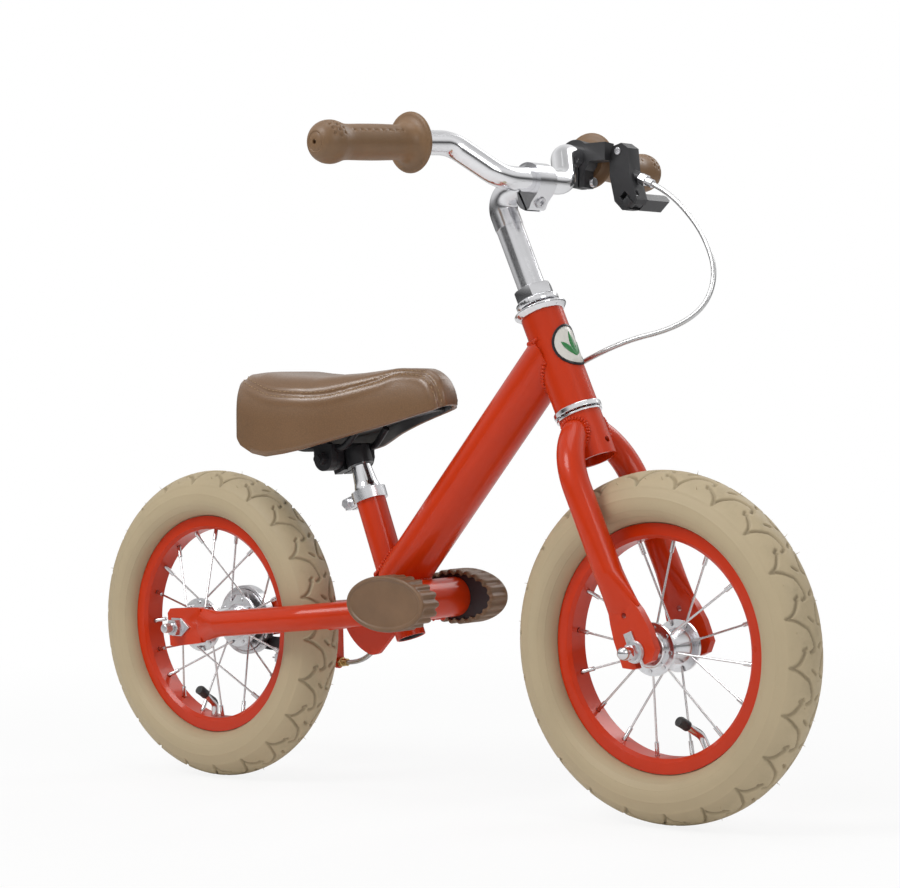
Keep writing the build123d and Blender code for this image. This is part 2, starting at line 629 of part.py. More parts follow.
with BuildPart() as upper_cup:
    with BuildSketch(head_section()):
        with BuildLine():
            Polyline((HEAD_TUBE_R - TUBE_WALL - FIT, HEAD_TUBE_HIGH - 6),
                     (HEAD_TUBE_R - TUBE_WALL - FIT, HEAD_TUBE_HIGH), (21, HEAD_TUBE_HIGH),
                     (24.6, HEAD_TUBE_HIGH + 4.2), (24.6, HEAD_TUBE_HIGH + 6), (22.8, HEAD_TUBE_HIGH + 6.6),
                     (21.4, HEAD_TUBE_HIGH + 5), (19.8, HEAD_TUBE_HIGH + 2.2), (15.2, HEAD_TUBE_HIGH + 2.2),
                     (15.2, HEAD_TUBE_HIGH - 6), close=True)
        make_face()
    revolve(axis=HEAD_AXIS)
upper_cup.part.label = "upper_head_cup"
export_step(upper_cup.part, "parts/upper_head_cup.step")

with BuildPart() as head_cone:
    with BuildSketch(head_section()):
        with BuildLine():
            Polyline((STEERER_R + FIT, 327.5), (15.3, 327.5), (15.3, 330), (18.4, 332), (20, 334),
                     (20, 338.5), (18, 340), (STEERER_R + FIT, 340), close=True)
        make_face()
    revolve(axis=HEAD_AXIS)
head_cone.part.label = "head_cone"
export_step(head_cone.part, "parts/head_cone.step")

with BuildPart() as head_locknut:
    with BuildSketch(head_level(340)):
        RegularPolygon(18.9, 6)
        Circle(STEERER_R + FIT, mode=Mode.SUBTRACT)
    extrude(amount=7)
    with BuildSketch(head_level(347)):
        RegularPolygon(18.9, 6)
        Circle(QUILL_R + 0.6, mode=Mode.SUBTRACT)
    extrude(amount=4)
    with BuildSketch(head_section()):
        with BuildLine():
            Polyline((16.5, 352), (20, 348), (20, 352), close=True)
        make_face()
    revolve(axis=HEAD_AXIS, mode=Mode.SUBTRACT)
head_locknut.part.label = "head_locknut"
export_step(head_locknut.part, "parts/head_locknut.step")

with BuildPart() as steering_balls:
    for height in (HEAD_TUBE_LOW - 3.3, HEAD_TUBE_HIGH + 4.1):
        ball_ring = 17.7 if height < 300 else 17.4
        with BuildPart(head_level(height), mode=Mode.PRIVATE) as ring:
            with PolarLocations(ball_ring, 18):
                Sphere(1.7)
        add(ring.part)
steering_balls.part.label = "steering_balls"
export_step(steering_balls.part, "parts/steering_balls.step")

# ---------------------------------------------------------------- fork
with BuildPart() as fork_steerer:
    with BuildSketch(head_section()):
        with BuildLine():
            Polyline((QUILL_R + FIT, CROWN_HIGH - 10), (QUILL_R + FIT, STEERER_TOP), (STEERER_R, STEERER_TOP),
                     (STEERER_R, CROWN_HIGH), (CROWN_R, CROWN_HIGH), (CROWN_R, CROWN_LOW),
                     (CROWN_R - 2.5, CROWN_LOW), (CROWN_R - 2.5, CROWN_HIGH - 10), close=True)
        make_face()
    revolve(axis=HEAD_AXIS)
    # mudguard bolt hole through the crown, front to back
    with BuildSketch(Plane(origin=head_point(192) + HEAD_FORWARD * -30, x_dir=(0, 1, 0), z_dir=HEAD_FORWARD)):
        Circle(3)
    extrude(amount=60, mode=Mode.SUBTRACT)
fork_steerer.part.label = "fork_steerer"
export_step(fork_steerer.part, "parts/fork_steerer.step")


def fork_point(lead, y, distance):
    """A point beside the steering axis: forward of it, to the left, and above the axle."""
    return head_point(distance) + HEAD_FORWARD * lead + Vector(0, y, 0)


LEG_ROOT = fork_point(0, -6, 212)
LEG_BEND = fork_point(FORK_LEG_LEAD, -FORK_LEG_Y, 191)
LEG_NECK = fork_point(FORK_LEG_LEAD, -FORK_LEG_Y, 72)
PLATE_Y = -(FRONT_HALF_OLD + FORK_PLATE_THICK / 2)
with BuildPart() as fork_legs:
    with BuildLine() as leg_line:
        FilletPolyline(LEG_ROOT, LEG_BEND, LEG_NECK, radius=64)
    with BuildSketch(across(LEG_ROOT, LEG_BEND)):
        Circle(STAY_R)
    sweep(path=leg_line.wire())
    # transition from the round leg to the pressed end
    with BuildSketch(Plane(origin=LEG_NECK, x_dir=(0, 1, 0), z_dir=HEAD_DIR)):
        Circle(STAY_R)
    with BuildSketch(Plane(origin=fork_point(FORK_LEG_LEAD, PLATE_Y, 36), x_dir=(0, 1, 0), z_dir=HEAD_DIR)):
        Ellipse(FORK_PLATE_THICK / 2 + 0.2, 17.6)
    loft()
    outer_plane = Plane(origin=fork_point(0, PLATE_Y + FORK_PLATE_THICK / 2, 0), x_dir=HEAD_FORWARD,
                        z_dir=(0, -1, 0))
    with BuildSketch(outer_plane):
        with BuildLine():
            Polyline((-11, 47), (14, 47), (19.5, 31), (22, 14), (21, -6), (13, -13.5), (-8, -13.5), (-18.5, -8),
                     (-17.5, 16), (-15, 31), close=True)
        make_face()
        Circle(AXLE_R + FIT, mode=Mode.SUBTRACT)
        with Locations((0, -10)):
            Rectangle(2 * AXLE_R, 20, mode=Mode.SUBTRACT)
    extrude(amount=FORK_PLATE_THICK)
    # eyelet in the pressed part, above the axle
    with BuildSketch(outer_plane):
        with Locations((2, 33)):
            Circle(2.6)
    extrude(amount=30, both=True, mode=Mode.SUBTRACT)
    mirror(about=Plane.XZ)
    with BuildSketch(head_level(CROWN_LOW - 20)):
        Circle(CROWN_R)
    extrude(amount=90, mode=Mode.SUBTRACT)
fork_legs.part.label = "fork_legs"
export_step(fork_legs.part, "parts/fork_legs.step")

# ---------------------------------------------------------------- stem
ELBOW = head_point(444)
COLLAR_R = 16
COLLAR_HALF = 12
STEM_NECK_R = 13.3
BOLT_CENTRE = Vector(140.6, 0, 559)
BOLT_DIR = Vector(0.94, 0, -0.35).normalized()
EXPANDER_R = 4


def bolt_level(distance):
    """The plane across the stem's clamp bolt at a distance forward of its centre."""
    return Plane(origin=BOLT_CENTRE + BOLT_DIR * distance, x_dir=(0, 1, 0), z_dir=BOLT_DIR)


collar_plane = side_plane(CLAMP_CENTRE.X, CLAMP_CENTRE.Z, -COLLAR_HALF)
with BuildPart() as stem:
    with BuildSketch(head_level(QUILL_LOW)):
        Circle(QUILL_R)
    extrude(amount=STEM_RING - QUILL_LOW)
    with BuildLine() as neck_line:
        FilletPolyline(head_point(STEM_RING), ELBOW, CLAMP_CENTRE, radius=15)
    with BuildSketch(head_level(STEM_RING)):
        Circle(STEM_NECK_R)
    sweep(path=neck_line.wire())
    with BuildSketch(collar_plane):
        Circle(COLLAR_R)
        # lug below the collar, closed on the bar by a bolt
        with BuildLine():
            Polyline((-14, 6), (-13, 20), (-9, 25), (-3, 28), (1.5, 26), (4.5, 20), (12, 12), (15, 4), close=True)
        make_face()
    extrude(amount=2 * COLLAR_HALF)
    with BuildSketch(side_plane(CLAMP_CENTRE.X, CLAMP_CENTRE.Z, -16)):
        Circle(BAR_R + FIT)
    extrude(amount=32, mode=Mode.SUBTRACT)
    with BuildSketch(collar_plane):
        # slit between the jaws
        with BuildLine():
            Polyline((-7, 7), (-11.3, 10.9), (-1.6, 30), (0.6, 30), (-8.6, 11.2), (-5.6, 8.4), close=True)
        make_face()
    extrude(amount=2 * COLLAR_HALF, mode=Mode.SUBTRACT)
    # bores for the expander bolt and the clamp bolt
    with BuildSketch(head_level(QUILL_LOW)):
        Circle(EXPANDER_R + 0.3)
    extrude(amount=182, mode=Mode.SUBTRACT)
    with BuildSketch(bolt_level(-30)):
        Circle(3.3)
    extrude(amount=60, mode=Mode.SUBTRACT)
    with BuildSketch(bolt_level(7)):
        Circle(5.3)
    extrude(amount=30, mode=Mode.SUBTRACT)
stem.part.label = "stem"
export_step(stem.part, "parts/stem.step")

# slanted wedge at the quill's foot
with BuildPart() as stem_wedge:
    with BuildSketch(head_level(QUILL_LOW - 26)):
        Circle(QUILL_R)
        Circle(EXPANDER_R + 0.3, mode=Mode.SUBTRACT)
    extrude(amount=25.8)
stem_wedge.part.label = "stem_wedge"
export_step(stem_wedge.part, "parts/stem_wedge.step")

# expander bolt down the quill
with BuildPart() as stem_bolt:
    with BuildSketch(head_level(QUILL_LOW - 25)):
        Circle(EXPANDER_R)
    extrude(amount=180)
stem_bolt.part.label = "stem_bolt"
export_step(stem_bolt.part, "parts/stem_bolt.step")

# socket screw that closes the collar
with BuildPart() as clamp_bolt:
    with BuildSketch(bolt_level(-11)):
        Circle(3)
    extrude(amount=19)
    with BuildSketch(bolt_level(7.2)):
        Circle(5)
    extrude(amount=5.5)
    with BuildSketch(bolt_level(9.5)):
        RegularPolygon(2.8, 6)
    extrude(amount=4, mode=Mode.SUBTRACT)
clamp_bolt.part.label = "clamp_bolt"
export_step(clamp_bolt.part, "parts/clamp_bolt.step")

# ---------------------------------------------------------------- handlebar and grips
BAR_END = BAR_BEND + GRIP_DIRECTION * 140


def left_of(point):
    """The same point on the left side of the bike."""
    return Vector(point.X, -point.Y, point.Z)


BAR_BEND_LEFT = left_of(BAR_BEND) + Vector(0, -LEFT_SHIFT, 0)
bar_route = [
    BAR_END, BAR_BEND, CLAMP_CENTRE + Vector(0, -BAR_STRAIGHT_Y, 0),
    CLAMP_CENTRE + Vector(0, BAR_STRAIGHT_Y - LEFT_SHIFT, 0), BAR_BEND_LEFT,
    BAR_BEND_LEFT + left_of(GRIP_DIRECTION) * 140,
]
with BuildPart() as handlebar:
    with BuildLine() as bar_line:
        FilletPolyline(*bar_route, radius=BAR_BEND_RADIUS)
    with BuildSketch(across(bar_route[0], bar_route[1])):
        Circle(BAR_R)
        Circle(BAR_R - BAR_WALL, mode=Mode.SUBTRACT)
    sweep(path=bar_line.wire())
handlebar.part.label = "handlebar"
export_step(handlebar.part, "parts/handlebar.step")

# each grip is turned: flange, ribbed sleeve and ball end over the closed end of the bar
for side, name in ((-1, "right_grip"), (1, "left_grip")):
    start = BAR_BEND if side < 0 else BAR_BEND_LEFT
    outward = GRIP_DIRECTION if side < 0 else left_of(GRIP_DIRECTION)
    radial = outward.cross(Vector(0, 0, 1)).normalized()
    grip_plane = Plane(origin=start, x_dir=radial, z_dir=radial.cross(outward))
    bore = BAR_R + FIT
    near = FLANGE_DISTANCE
    far = BALL_DISTANCE
    with BuildPart() as grip:
        with BuildSketch(grip_plane):
            with BuildLine():
                Polyline((bore, near - 5), (18, near - 5), (21, near - 2.5), (GRIP_FLANGE_R - 1, near - 2),
                         (GRIP_FLANGE_R, near), (GRIP_FLANGE_R - 1, near + 2), (20, near + 3.5),
                         (GRIP_R, near + 7), (GRIP_R, far - 14), (GRIP_BALL_R, far - 2))
                ThreePointArc((GRIP_BALL_R, far - 2), (13.5, far + 12), (2, far + 17))
                Polyline((2, far + 17), (2, 140.2), (bore, 140.2), (bore, near - 5))
            make_face()
        revolve(axis=Axis(start, outward))
    grip.part.label = name
    export_step(grip.part, f"parts/{name}.step")

# ---------------------------------------------------------------- brake lever assembly, on the left
LEVER_DIR = left_of(GRIP_DIRECTION)
LEVER_BAR = BAR_BEND_LEFT + LEVER_DIR * 30
LEVER_FORWARD = LEVER_DIR.cross(Vector(0, 0, 1)).normalized()
PIVOT = Vector(167, 112, 561)
PIVOT_DIR = Vector(0.75, 0, 0.66).normalized()
HOUSING_NEAR_Y = 112
HOUSING_WIDTH = 17
ROOT_HALF = 3.5
BLADE_HALF = 7
BLADE_HALF_THICK = 4.5
BLADE_START = 20
BLADE_END = 58
PIN_R = 2.5
BARREL_START = Vector(164, 121, 588)
BARREL_DIR = Vector(0.9023, 0, -0.4311).normalized()


def pivot_level(distance):
    """The plane across the lever's pivot: x runs left along the blade, y towards the bar."""
    return Plane(origin=PIVOT + PIVOT_DIR * distance, x_dir=(0, 1, 0), z_dir=PIVOT_DIR)


def barrel_level(distance):
    """The plane across the lever's cable adjuster, at a distance from the housing."""
    return Plane(origin=BARREL_START + BARREL_DIR * distance, x_dir=(0, 1, 0), z_dir=BARREL_DIR)


ring_plane = Plane(origin=LEVER_BAR - LEVER_DIR * 8, x_dir=LEVER_FORWARD, z_dir=LEVER_DIR)
with BuildPart() as lever_bracket:
    # ring round the bar with its clamp lug below and the arm forward
    with BuildSketch(ring_plane):
        Circle(17)
        with Locations((5, 18)):
            Rectangle(13, 22)
        with Locations((17, -4)):
            Rectangle(34, 17)
    extrude(amount=16)
    # housing that carries the blade and the cable adjuster
    with BuildSketch(side_plane(0, 0, HOUSING_NEAR_Y)):
        with BuildLine():
            Polyline((146, -606), (150, -614), (160, -616.5), (168, -611), (169.5, -590), (177, -562),
                     (173, -553), (160, -553), (151, -562), (146, -585), close=True)
        make_face()
    extrude(amount=HOUSING_WIDTH)
    with BuildSketch(barrel_level(0)):
        Circle(5)
    extrude(amount=12.3)
    with BuildSketch(barrel_level(-4)):
        Circle(2.6)
    extrude(amount=30, mode=Mode.SUBTRACT)
    with BuildSketch(ring_plane):
        Circle(BAR_R + FIT)
        with Locations((5, 22)):
            Rectangle(1.6, 26)
    extrude(amount=16, mode=Mode.SUBTRACT)
    # slot for the lever's root, and the pivot pin's bore
    with BuildSketch(pivot_level(-ROOT_HALF - 0.3)):
        with Locations((12, -2)):
            Rectangle(40, 24)
    extrude(amount=2 * ROOT_HALF + 0.6, mode=Mode.SUBTRACT)
    with BuildSketch(pivot_level(-20)):
        with Locations((3, 0)):
            Circle(PIN_R)
    extrude(amount=40, mode=Mode.SUBTRACT)
lever_bracket.part.label = "lever_bracket"
export_step(lever_bracket.part, "parts/lever_bracket.step")

# blade on its root, turning on the pin
with BuildPart() as brake_lever:
    with BuildSketch(pivot_level(-ROOT_HALF)):
        with Locations((3, 0)):
            Circle(6)
        with Locations((13, 0)):
            Rectangle(20, 2 * BLADE_HALF_THICK - 1)
    extrude(amount=2 * ROOT_HALF)
    with BuildSketch(pivot_level(-BLADE_HALF)):
        with BuildLine():
            Polyline((BLADE_START, -BLADE_HALF_THICK), (BLADE_END - 3, -BLADE_HALF_THICK), (BLADE_END, -2),
                     (BLADE_END, 3), (BLADE_END - 3, BLADE_HALF_THICK), (BLADE_START, BLADE_HALF_THICK),
                     close=True)
        make_face()
    extrude(amount=2 * BLADE_HALF)
    with BuildSketch(pivot_level(-20)):
        with Locations((3, 0)):
            Circle(PIN_R + FIT)
    extrude(amount=40, mode=Mode.SUBTRACT)
brake_lever.part.label = "brake_lever"
export_step(brake_lever.part, "parts/brake_lever.step")

# pivot pin, clamp bolt and the rivet through the housing's top
with BuildPart() as lever_bolts:
    with BuildSketch(pivot_level(-9.5)):
        with Locations((3, 0)):
            Circle(PIN_R)
    extrude(amount=19)
    with BuildSketch(Plane(origin=LEVER_BAR + Vector(15, 0, -24), x_dir=(0, 1, 0), z_dir=(1, 0, 0))):
        Circle(4.5)
    extrude(amount=3.5)
    with BuildSketch(side_plane(156, 609, HOUSING_NEAR_Y - 1.2)):
        Circle(3.6)
    extrude(amount=1.2)
lever_bolts.part.label = "lever_bolts"
export_step(lever_bolts.part, "parts/lever_bolts.step")

# hollow hexagonal barrel that screws into the housing and seats the cable
with BuildPart() as barrel_adjuster:
    with BuildSketch(barrel_level(2)):
        Circle(2.6)
    extrude(amount=11)
    with BuildSketch(barrel_level(12.5)):
        RegularPolygon(5.6, 6)
    extrude(amount=8)
    with BuildSketch(barrel_level(20)):
        Circle(4)
    extrude(amount=8)
    with BuildSketch(barrel_level(0)):
        Circle(WIRE_R + 0.3)
    extrude(amount=40, mode=Mode.SUBTRACT)
    with BuildSketch(barrel_level(22)):
        Circle(CABLE_R + FIT)
    extrude(amount=10, mode=Mode.SUBTRACT)
barrel_adjuster.part.label = "barrel_adjuster"
export_step(barrel_adjuster.part, "parts/barrel_adjuster.step")

# ---------------------------------------------------------------- brake cable
def beside_main_tube(distance, turn, radius):
    """A point beside the main tube: along it, turned from below towards the left, and out."""
    foot = MAIN_FOOT + MAIN_DIR * distance
    return foot + MAIN_DOWN * (radius * cos(radians(turn))) + Vector(0, radius * sin(radians(turn)), 0)


UPPER_CLIP = beside_main_tube(236, 85, 27)
UPPER_CLIP_DIR = (beside_main_tube(74, 80, 26) - UPPER_CLIP).normalized()
LOWER_CLIP = beside_main_tube(74, 80, 26)
CABLE_END = ADJUSTER + Vector(9, 0, 0)
LOOP_ROUTE = [
    BARREL_START + BARREL_DIR * 22.4, BARREL_START + BARREL_DIR * 46, Vector(238, 113, 542),
    Vector(261, 102, 516), Vector(274, 90, 490), Vector(270, 78, 464), Vector(246, 61, 445),
    Vector(206, 42, 430), UPPER_CLIP - UPPER_CLIP_DIR * 34, UPPER_CLIP,
]
FRAME_ROUTE = [
    UPPER_CLIP, LOWER_CLIP, Vector(-50, 42, 196), Vector(-82, 45, 160), Vector(-106, 49, 134),
    CABLE_END + Vector(20, 0, 0), CABLE_END,
]
for name, route, radius in (("brake_cable_loop", LOOP_ROUTE, CABLE_R), ("brake_cable", FRAME_ROUTE, CABLE_R)):
    radii = corner_radii(route)
    print(name, "corner radii", [round(value, 1) for value in radii])
    with BuildPart() as cable:
        with BuildLine() as cable_line:
            FilletPolyline(*route, radius=radii)
        with BuildSketch(across(route[0], route[1])):
            Circle(radius)
        sweep(path=cable_line.wire())
        length = cable_line.wire().length
        print(name, "length", round(length, 1), "volume ratio",
              round(cable.part.volume / (3.14159 * radius * radius * length), 4))
        if name == "brake_cable":
            # bare inner wire on to the brake arm
            with BuildSketch(Plane(origin=CABLE_END, x_dir=(0, 1, 0), z_dir=(-1, 0, 0))):
                Circle(WIRE_R)
            extrude(amount=102)
    cable.part.label = name
    export_step(cable.part, f"parts/{name}.step")

# clips that hold the cable against the main tube
with BuildPart() as cable_clips:
    for point in (UPPER_CLIP + UPPER_CLIP_DIR * 8, LOWER_CLIP + UPPER_CLIP_DIR * -64):
        with BuildSketch(Plane(origin=point, z_dir=UPPER_CLIP_DIR)):
            Circle(CABLE_R + 2)
        extrude(amount=4.5, both=True)
        with BuildSketch(Plane(origin=point, z_dir=UPPER_CLIP_DIR)):
            Circle(CABLE_R)
        extrude(amount=6, both=True, mode=Mode.SUBTRACT)
    with BuildSketch(across(MAIN_FOOT, main_head)):
        Circle(MAIN_TUBE_R)
    extrude(amount=MAIN_LENGTH, mode=Mode.SUBTRACT)
cable_clips.part.label = "cable_clips"
export_step(cable_clips.part, "parts/cable_clips.step")

# adjuster in the tab under the left stay, with its spring
with BuildPart() as cable_adjuster:
    with BuildSketch(Plane(origin=ADJUSTER + Vector(-16, 0, 0), x_dir=(0, 1, 0), z_dir=(1, 0, 0))):
        Circle(3)
    extrude(amount=17.8)
    with BuildSketch(Plane(origin=ADJUSTER + Vector(1.8, 0, 0), x_dir=(0, 1, 0), z_dir=(1, 0, 0))):
        RegularPolygon(5.2, 6)
    extrude(amount=5)
    with BuildSketch(Plane(origin=ADJUSTER + Vector(6.8, 0, 0), x_dir=(0, 1, 0), z_dir=(1, 0, 0))):
        Circle(3.8)
    extrude(amount=6)
    with BuildSketch(Plane(origin=ADJUSTER + Vector(8.9, 0, 0), x_dir=(0, 1, 0), z_dir=(1, 0, 0))):
        Circle(CABLE_R + FIT)
    extrude(amount=10, mode=Mode.SUBTRACT)
    with BuildSketch(Plane(origin=ADJUSTER + Vector(-20, 0, 0), x_dir=(0, 1, 0), z_dir=(1, 0, 0))):
        Circle(WIRE_R + 0.3)
    extrude(amount=40, mode=Mode.SUBTRACT)
cable_adjuster.part.label = "cable_adjuster"
export_step(cable_adjuster.part, "parts/cable_adjuster.step")

# ---------------------------------------------------------------- rear band brake
DRUM_R = 32
rear_section = wheel_section(REAR_X)
rear_line = Axis((REAR_X, 0, AXLE_Z), (0, 1, 0))
with BuildPart() as brake_drum:
    with BuildSketch(rear_section):
        with BuildLine():
            Polyline((17, 34.3), (DRUM_R, 34.3), (DRUM_R, 45.5), (DRUM_R - 2.5, 45.5), (DRUM_R - 2.5, 37),
                     (17, 37), close=True)
        make_face()
    revolve(axis=rear_line)
brake_drum.part.label = "brake_drum"
export_step(brake_drum.part, "parts/brake_drum.step")

# steel band with its lining, open at the front below the stay
with BuildPart() as brake_band:
    with BuildSketch(side_plane(REAR_X, AXLE_Z, 35.5)):
        Circle(DRUM_R + 3.6)
        Circle(DRUM_R + 0.4, mode=Mode.SUBTRACT)
        with BuildLine():
            Polyline((0, 0), (60, 36), (60, 58), close=True)
        make_face(mode=Mode.SUBTRACT)
    extrude(amount=9.5)
brake_band.part.label = "brake_band"
export_step(brake_band.part, "parts/brake_band.step")

ARM_PIVOT = Vector(-246, 49.2, 133)
with BuildPart() as brake_anchor:
    with BuildSketch(side_plane(REAR_X, AXLE_Z, 46.6)):
        Circle(28)
        with BuildLine():
            Polyline((0, 28), (0, 10), (30, 17), (66, 18), (70, 21), (70, 26), (66, 29), (42, 30), (26, 31),
                     close=True)
        make_face()
        Circle(8.4, mode=Mode.SUBTRACT)
    extrude(amount=2.2)
    # pivot pin of the brake arm, and the strap that ties the plate to the stay
    with BuildSketch(side_plane(ARM_PIVOT.X, ARM_PIVOT.Z, 48.8)):
        Circle(3)
    extrude(amount=6)
    strap = STAY_NECK + (STAY_PAST_TYRE - STAY_NECK) * 0.06
    strap_point = Vector(strap.X, -strap.Y, strap.Z)
    strap_ahead = Vector(STAY_PAST_TYRE.X, -STAY_PAST_TYRE.Y, STAY_PAST_TYRE.Z)
    with BuildSketch(across(strap_point, strap_ahead)):
        Circle(STAY_R + 1.6)
        Circle(STAY_R, mode=Mode.SUBTRACT)
    extrude(amount=9)
    with BuildSketch(Plane(origin=(-218, 47.7, 140), x_dir=(1, 0, 0), z_dir=(0, 0, 1))):
        Rectangle(8, 2.2)
    extrude(amount=9)
    with BuildSketch(across(strap_point, strap_ahead)):
        Circle(STAY_R)
    extrude(amount=20, both=True, mode=Mode.SUBTRACT)
brake_anchor.part.label = "brake_anchor"
export_step(brake_anchor.part, "parts/brake_anchor.step")

# arm that tightens the band, with the block that takes the inner wire
with BuildPart() as brake_arm:
    with BuildSketch(side_plane(ARM_PIVOT.X, ARM_PIVOT.Z, ARM_PIVOT.Y)):
        with BuildLine():
            Polyline((-5, -5), (3, -6), (6, 0), (6, 13), (-2, 13), (-6, 2), close=True)
        make_face()
        Circle(3 + FIT, mode=Mode.SUBTRACT)
    extrude(amount=4)
    with BuildSketch(Plane(origin=(-248.5, ADJUSTER.Y, ADJUSTER.Z), x_dir=(0, 1, 0), z_dir=(1, 0, 0))):
        Rectangle(8, 8)
        Circle(WIRE_R + 1.4, mode=Mode.SUBTRACT)
    extrude(amount=9)
brake_arm.part.label = "brake_arm"
export_step(brake_arm.part, "parts/brake_arm.step")

# ---------------------------------------------------------------- seat
POST_R = 12.7
POST_NECK_R = 9.6
POST_LOW = 72
POST_TOP = 193
COLLAR_LOW = 139
COLLAR_LENGTH = 11
with BuildPart() as seat_collar:
    with BuildSketch(seat_level(COLLAR_LOW)):
        Circle(17)
        with Locations((-20, 0)):
            Rectangle(16, 16)
        Circle(SEAT_TUBE_R, mode=Mode.SUBTRACT)
        with Locations((-22, 0)):
            Rectangle(20, 2.5, mode=Mode.SUBTRACT)
    extrude(amount=COLLAR_LENGTH)
    with BuildSketch(Plane(origin=SEAT_FOOT + SEAT_DIR * (COLLAR_LOW + COLLAR_LENGTH / 2) - SEAT_FORWARD * 23,
                           x_dir=SEAT_FORWARD, z_dir=(0, -1, 0))):
        Circle(2.7)
    extrude(amount=20, both=True, mode=Mode.SUBTRACT)
seat_collar.part.label = "seat_collar"
export_step(seat_collar.part, "parts/seat_collar.step")

with BuildPart() as seat_collar_bolt:
    bolt_centre = SEAT_FOOT + SEAT_DIR * (COLLAR_LOW + COLLAR_LENGTH / 2) - SEAT_FORWARD * 23
    with BuildSketch(Plane(origin=bolt_centre + Vector(0, 11, 0), x_dir=SEAT_FORWARD, z_dir=(0, -1, 0))):
        Circle(2.6)
    extrude(amount=22)
    for side in (-1, 1):
        with BuildSketch(Plane(origin=bolt_centre + Vector(0, side * 8, 0), x_dir=SEAT_FORWARD,
                               z_dir=(0, side, 0))):
            RegularPolygon(4.8, 6)
        extrude(amount=4)
seat_collar_bolt.part.label = "seat_collar_bolt"
export_step(seat_collar_bolt.part, "parts/seat_collar_bolt.step")

with BuildPart() as seat_post:
    with BuildSketch(seat_section()):
        with BuildLine():
            Polyline((POST_R, POST_LOW), (POST_R, 152), (11.4, 157), (POST_NECK_R, 173), (POST_NECK_R, POST_TOP),
                     (POST_NECK_R - 2, POST_TOP), (POST_NECK_R - 2, 173), (9.4, 157), (POST_R - 2, 152),
                     (POST_R - 2, POST_LOW), close=True)
        make_face()
    revolve(axis=SEAT_AXIS)
seat_post.part.label = "seat_post"
export_step(seat_post.part, "parts/seat_post.step")

RAIL_Y = 22
RAIL_R = 3.4
RAIL_Z = 334
CLAMP_BOLT = Vector(-100, 0, 324)
BAND_LOW = 175.5
with BuildPart() as saddle_clamp:
    # band round the top of the post, with two ears behind it
    with BuildSketch(seat_level(BAND_LOW)):
        Circle(13)
        Circle(POST_NECK_R + FIT, mode=Mode.SUBTRACT)
    extrude(amount=17)
    with BuildSketch(seat_level(BAND_LOW)):
        with Locations((-18, 0)):
            Rectangle(14, 24)
    extrude(amount=21)
    with BuildSketch(seat_level(BAND_LOW)):
        Circle(POST_NECK_R + FIT)
        with Locations((-20, 0)):
            Rectangle(24, 2.4)
    extrude(amount=40, mode=Mode.SUBTRACT)
    # toothed discs that grip the rails, and the bolt through everything
    for side in (-1, 1):
        for inner, outer in ((13.2, RAIL_Y - 0.2), (RAIL_Y + 0.2, 30.6)):
            with BuildSketch(side_plane(CLAMP_BOLT.X, CLAMP_BOLT.Z, side * inner)):
                Circle(12)
                with Locations((0, -8)):
                    Rectangle(24, 12)
            extrude(amount=side * (outer - inner))
        with BuildSketch(side_plane(CLAMP_BOLT.X, CLAMP_BOLT.Z, side * 30.6)):
            RegularPolygon(6.5, 6)
        extrude(amount=side * 6.5)
    with BuildSketch(side_plane(CLAMP_BOLT.X, CLAMP_BOLT.Z, -40)):
        Circle(3.9)
    extrude(amount=80)
    for side in (-1, 1):
        with BuildSketch(Plane(origin=(CLAMP_BOLT.X - 30, side * RAIL_Y, RAIL_Z), x_dir=(0, 1, 0),
                               z_dir=(1, 0, 0))):
            Circle(RAIL_R + FIT)
        extrude(amount=60, mode=Mode.SUBTRACT)
saddle_clamp.part.label = "saddle_clamp"
export_step(saddle_clamp.part, "parts/saddle_clamp.step")

with BuildPart() as saddle_rails:
    for side in (-1, 1):
        rail_route = [
            Vector(-162, side * 32, 341), Vector(-134, side * RAIL_Y, RAIL_Z),
            Vector(-80, side * RAIL_Y, RAIL_Z), Vector(-62, side * 20, 352.5),
        ]
        with BuildLine() as rail_line:
            FilletPolyline(*rail_route, radius=16)
        with BuildSketch(across(rail_route[0], rail_route[1])):
            Circle(RAIL_R)
        sweep(path=rail_line.wire())
saddle_rails.part.label = "saddle_rails"
export_step(saddle_rails.part, "parts/saddle_rails.step")


def saddle_plane(x):
    """An upright plane across the saddle: x is left, y is up."""
    return Plane(origin=(x, 0, 0), x_dir=(0, 1, 0), z_dir=(1, 0, 0))


# moulded base inside the cover, with the rails below it
with BuildPart() as saddle_base:
    for x, half_width, low in SADDLE_BASE:
        with BuildSketch(saddle_plane(x)):
            with Locations((0, low + BASE_THICK / 2)):
                Rectangle(2 * half_width, BASE_THICK)
    loft(ruled=True)
saddle_base.part.label = "saddle_base"
export_step(saddle_base.part, "parts/saddle_base.step")

# padded cover: rounded top, straight sides and a deep skirt round the base
with BuildPart() as saddle_cover:
    for x, half_width, top, bottom in SADDLE_STATIONS:
        round_r = min(0.6 * half_width, 0.45 * (top - bottom))
        inset = round_r * (1 - cos(radians(45)))
        with BuildSketch(saddle_plane(x)):
            with BuildLine():
                Polyline((round_r - half_width, top), (half_width - round_r, top))
                ThreePointArc((half_width - round_r, top), (half_width - inset, top - inset),
                              (half_width, top - round_r))
                Polyline((half_width, top - round_r), (half_width, bottom), (-half_width, bottom),
                         (-half_width, top - round_r))
                ThreePointArc((-half_width, top - round_r), (inset - half_width, top - inset),
                              (round_r - half_width, top))
            make_face()
    loft(ruled=True)
    for index, (x, half_width, low) in enumerate(SADDLE_BASE):
        nudge = {0: -1, len(SADDLE_BASE) - 1: 1}.get(index, 0)
        with BuildSketch(saddle_plane(x + nudge)):
            with Locations((0, low + BASE_THICK + 0.6 - 30)):
                Rectangle(2 * half_width + 1.6, 60)
    loft(ruled=True, mode=Mode.SUBTRACT)
saddle_cover.part.label = "saddle_cover"
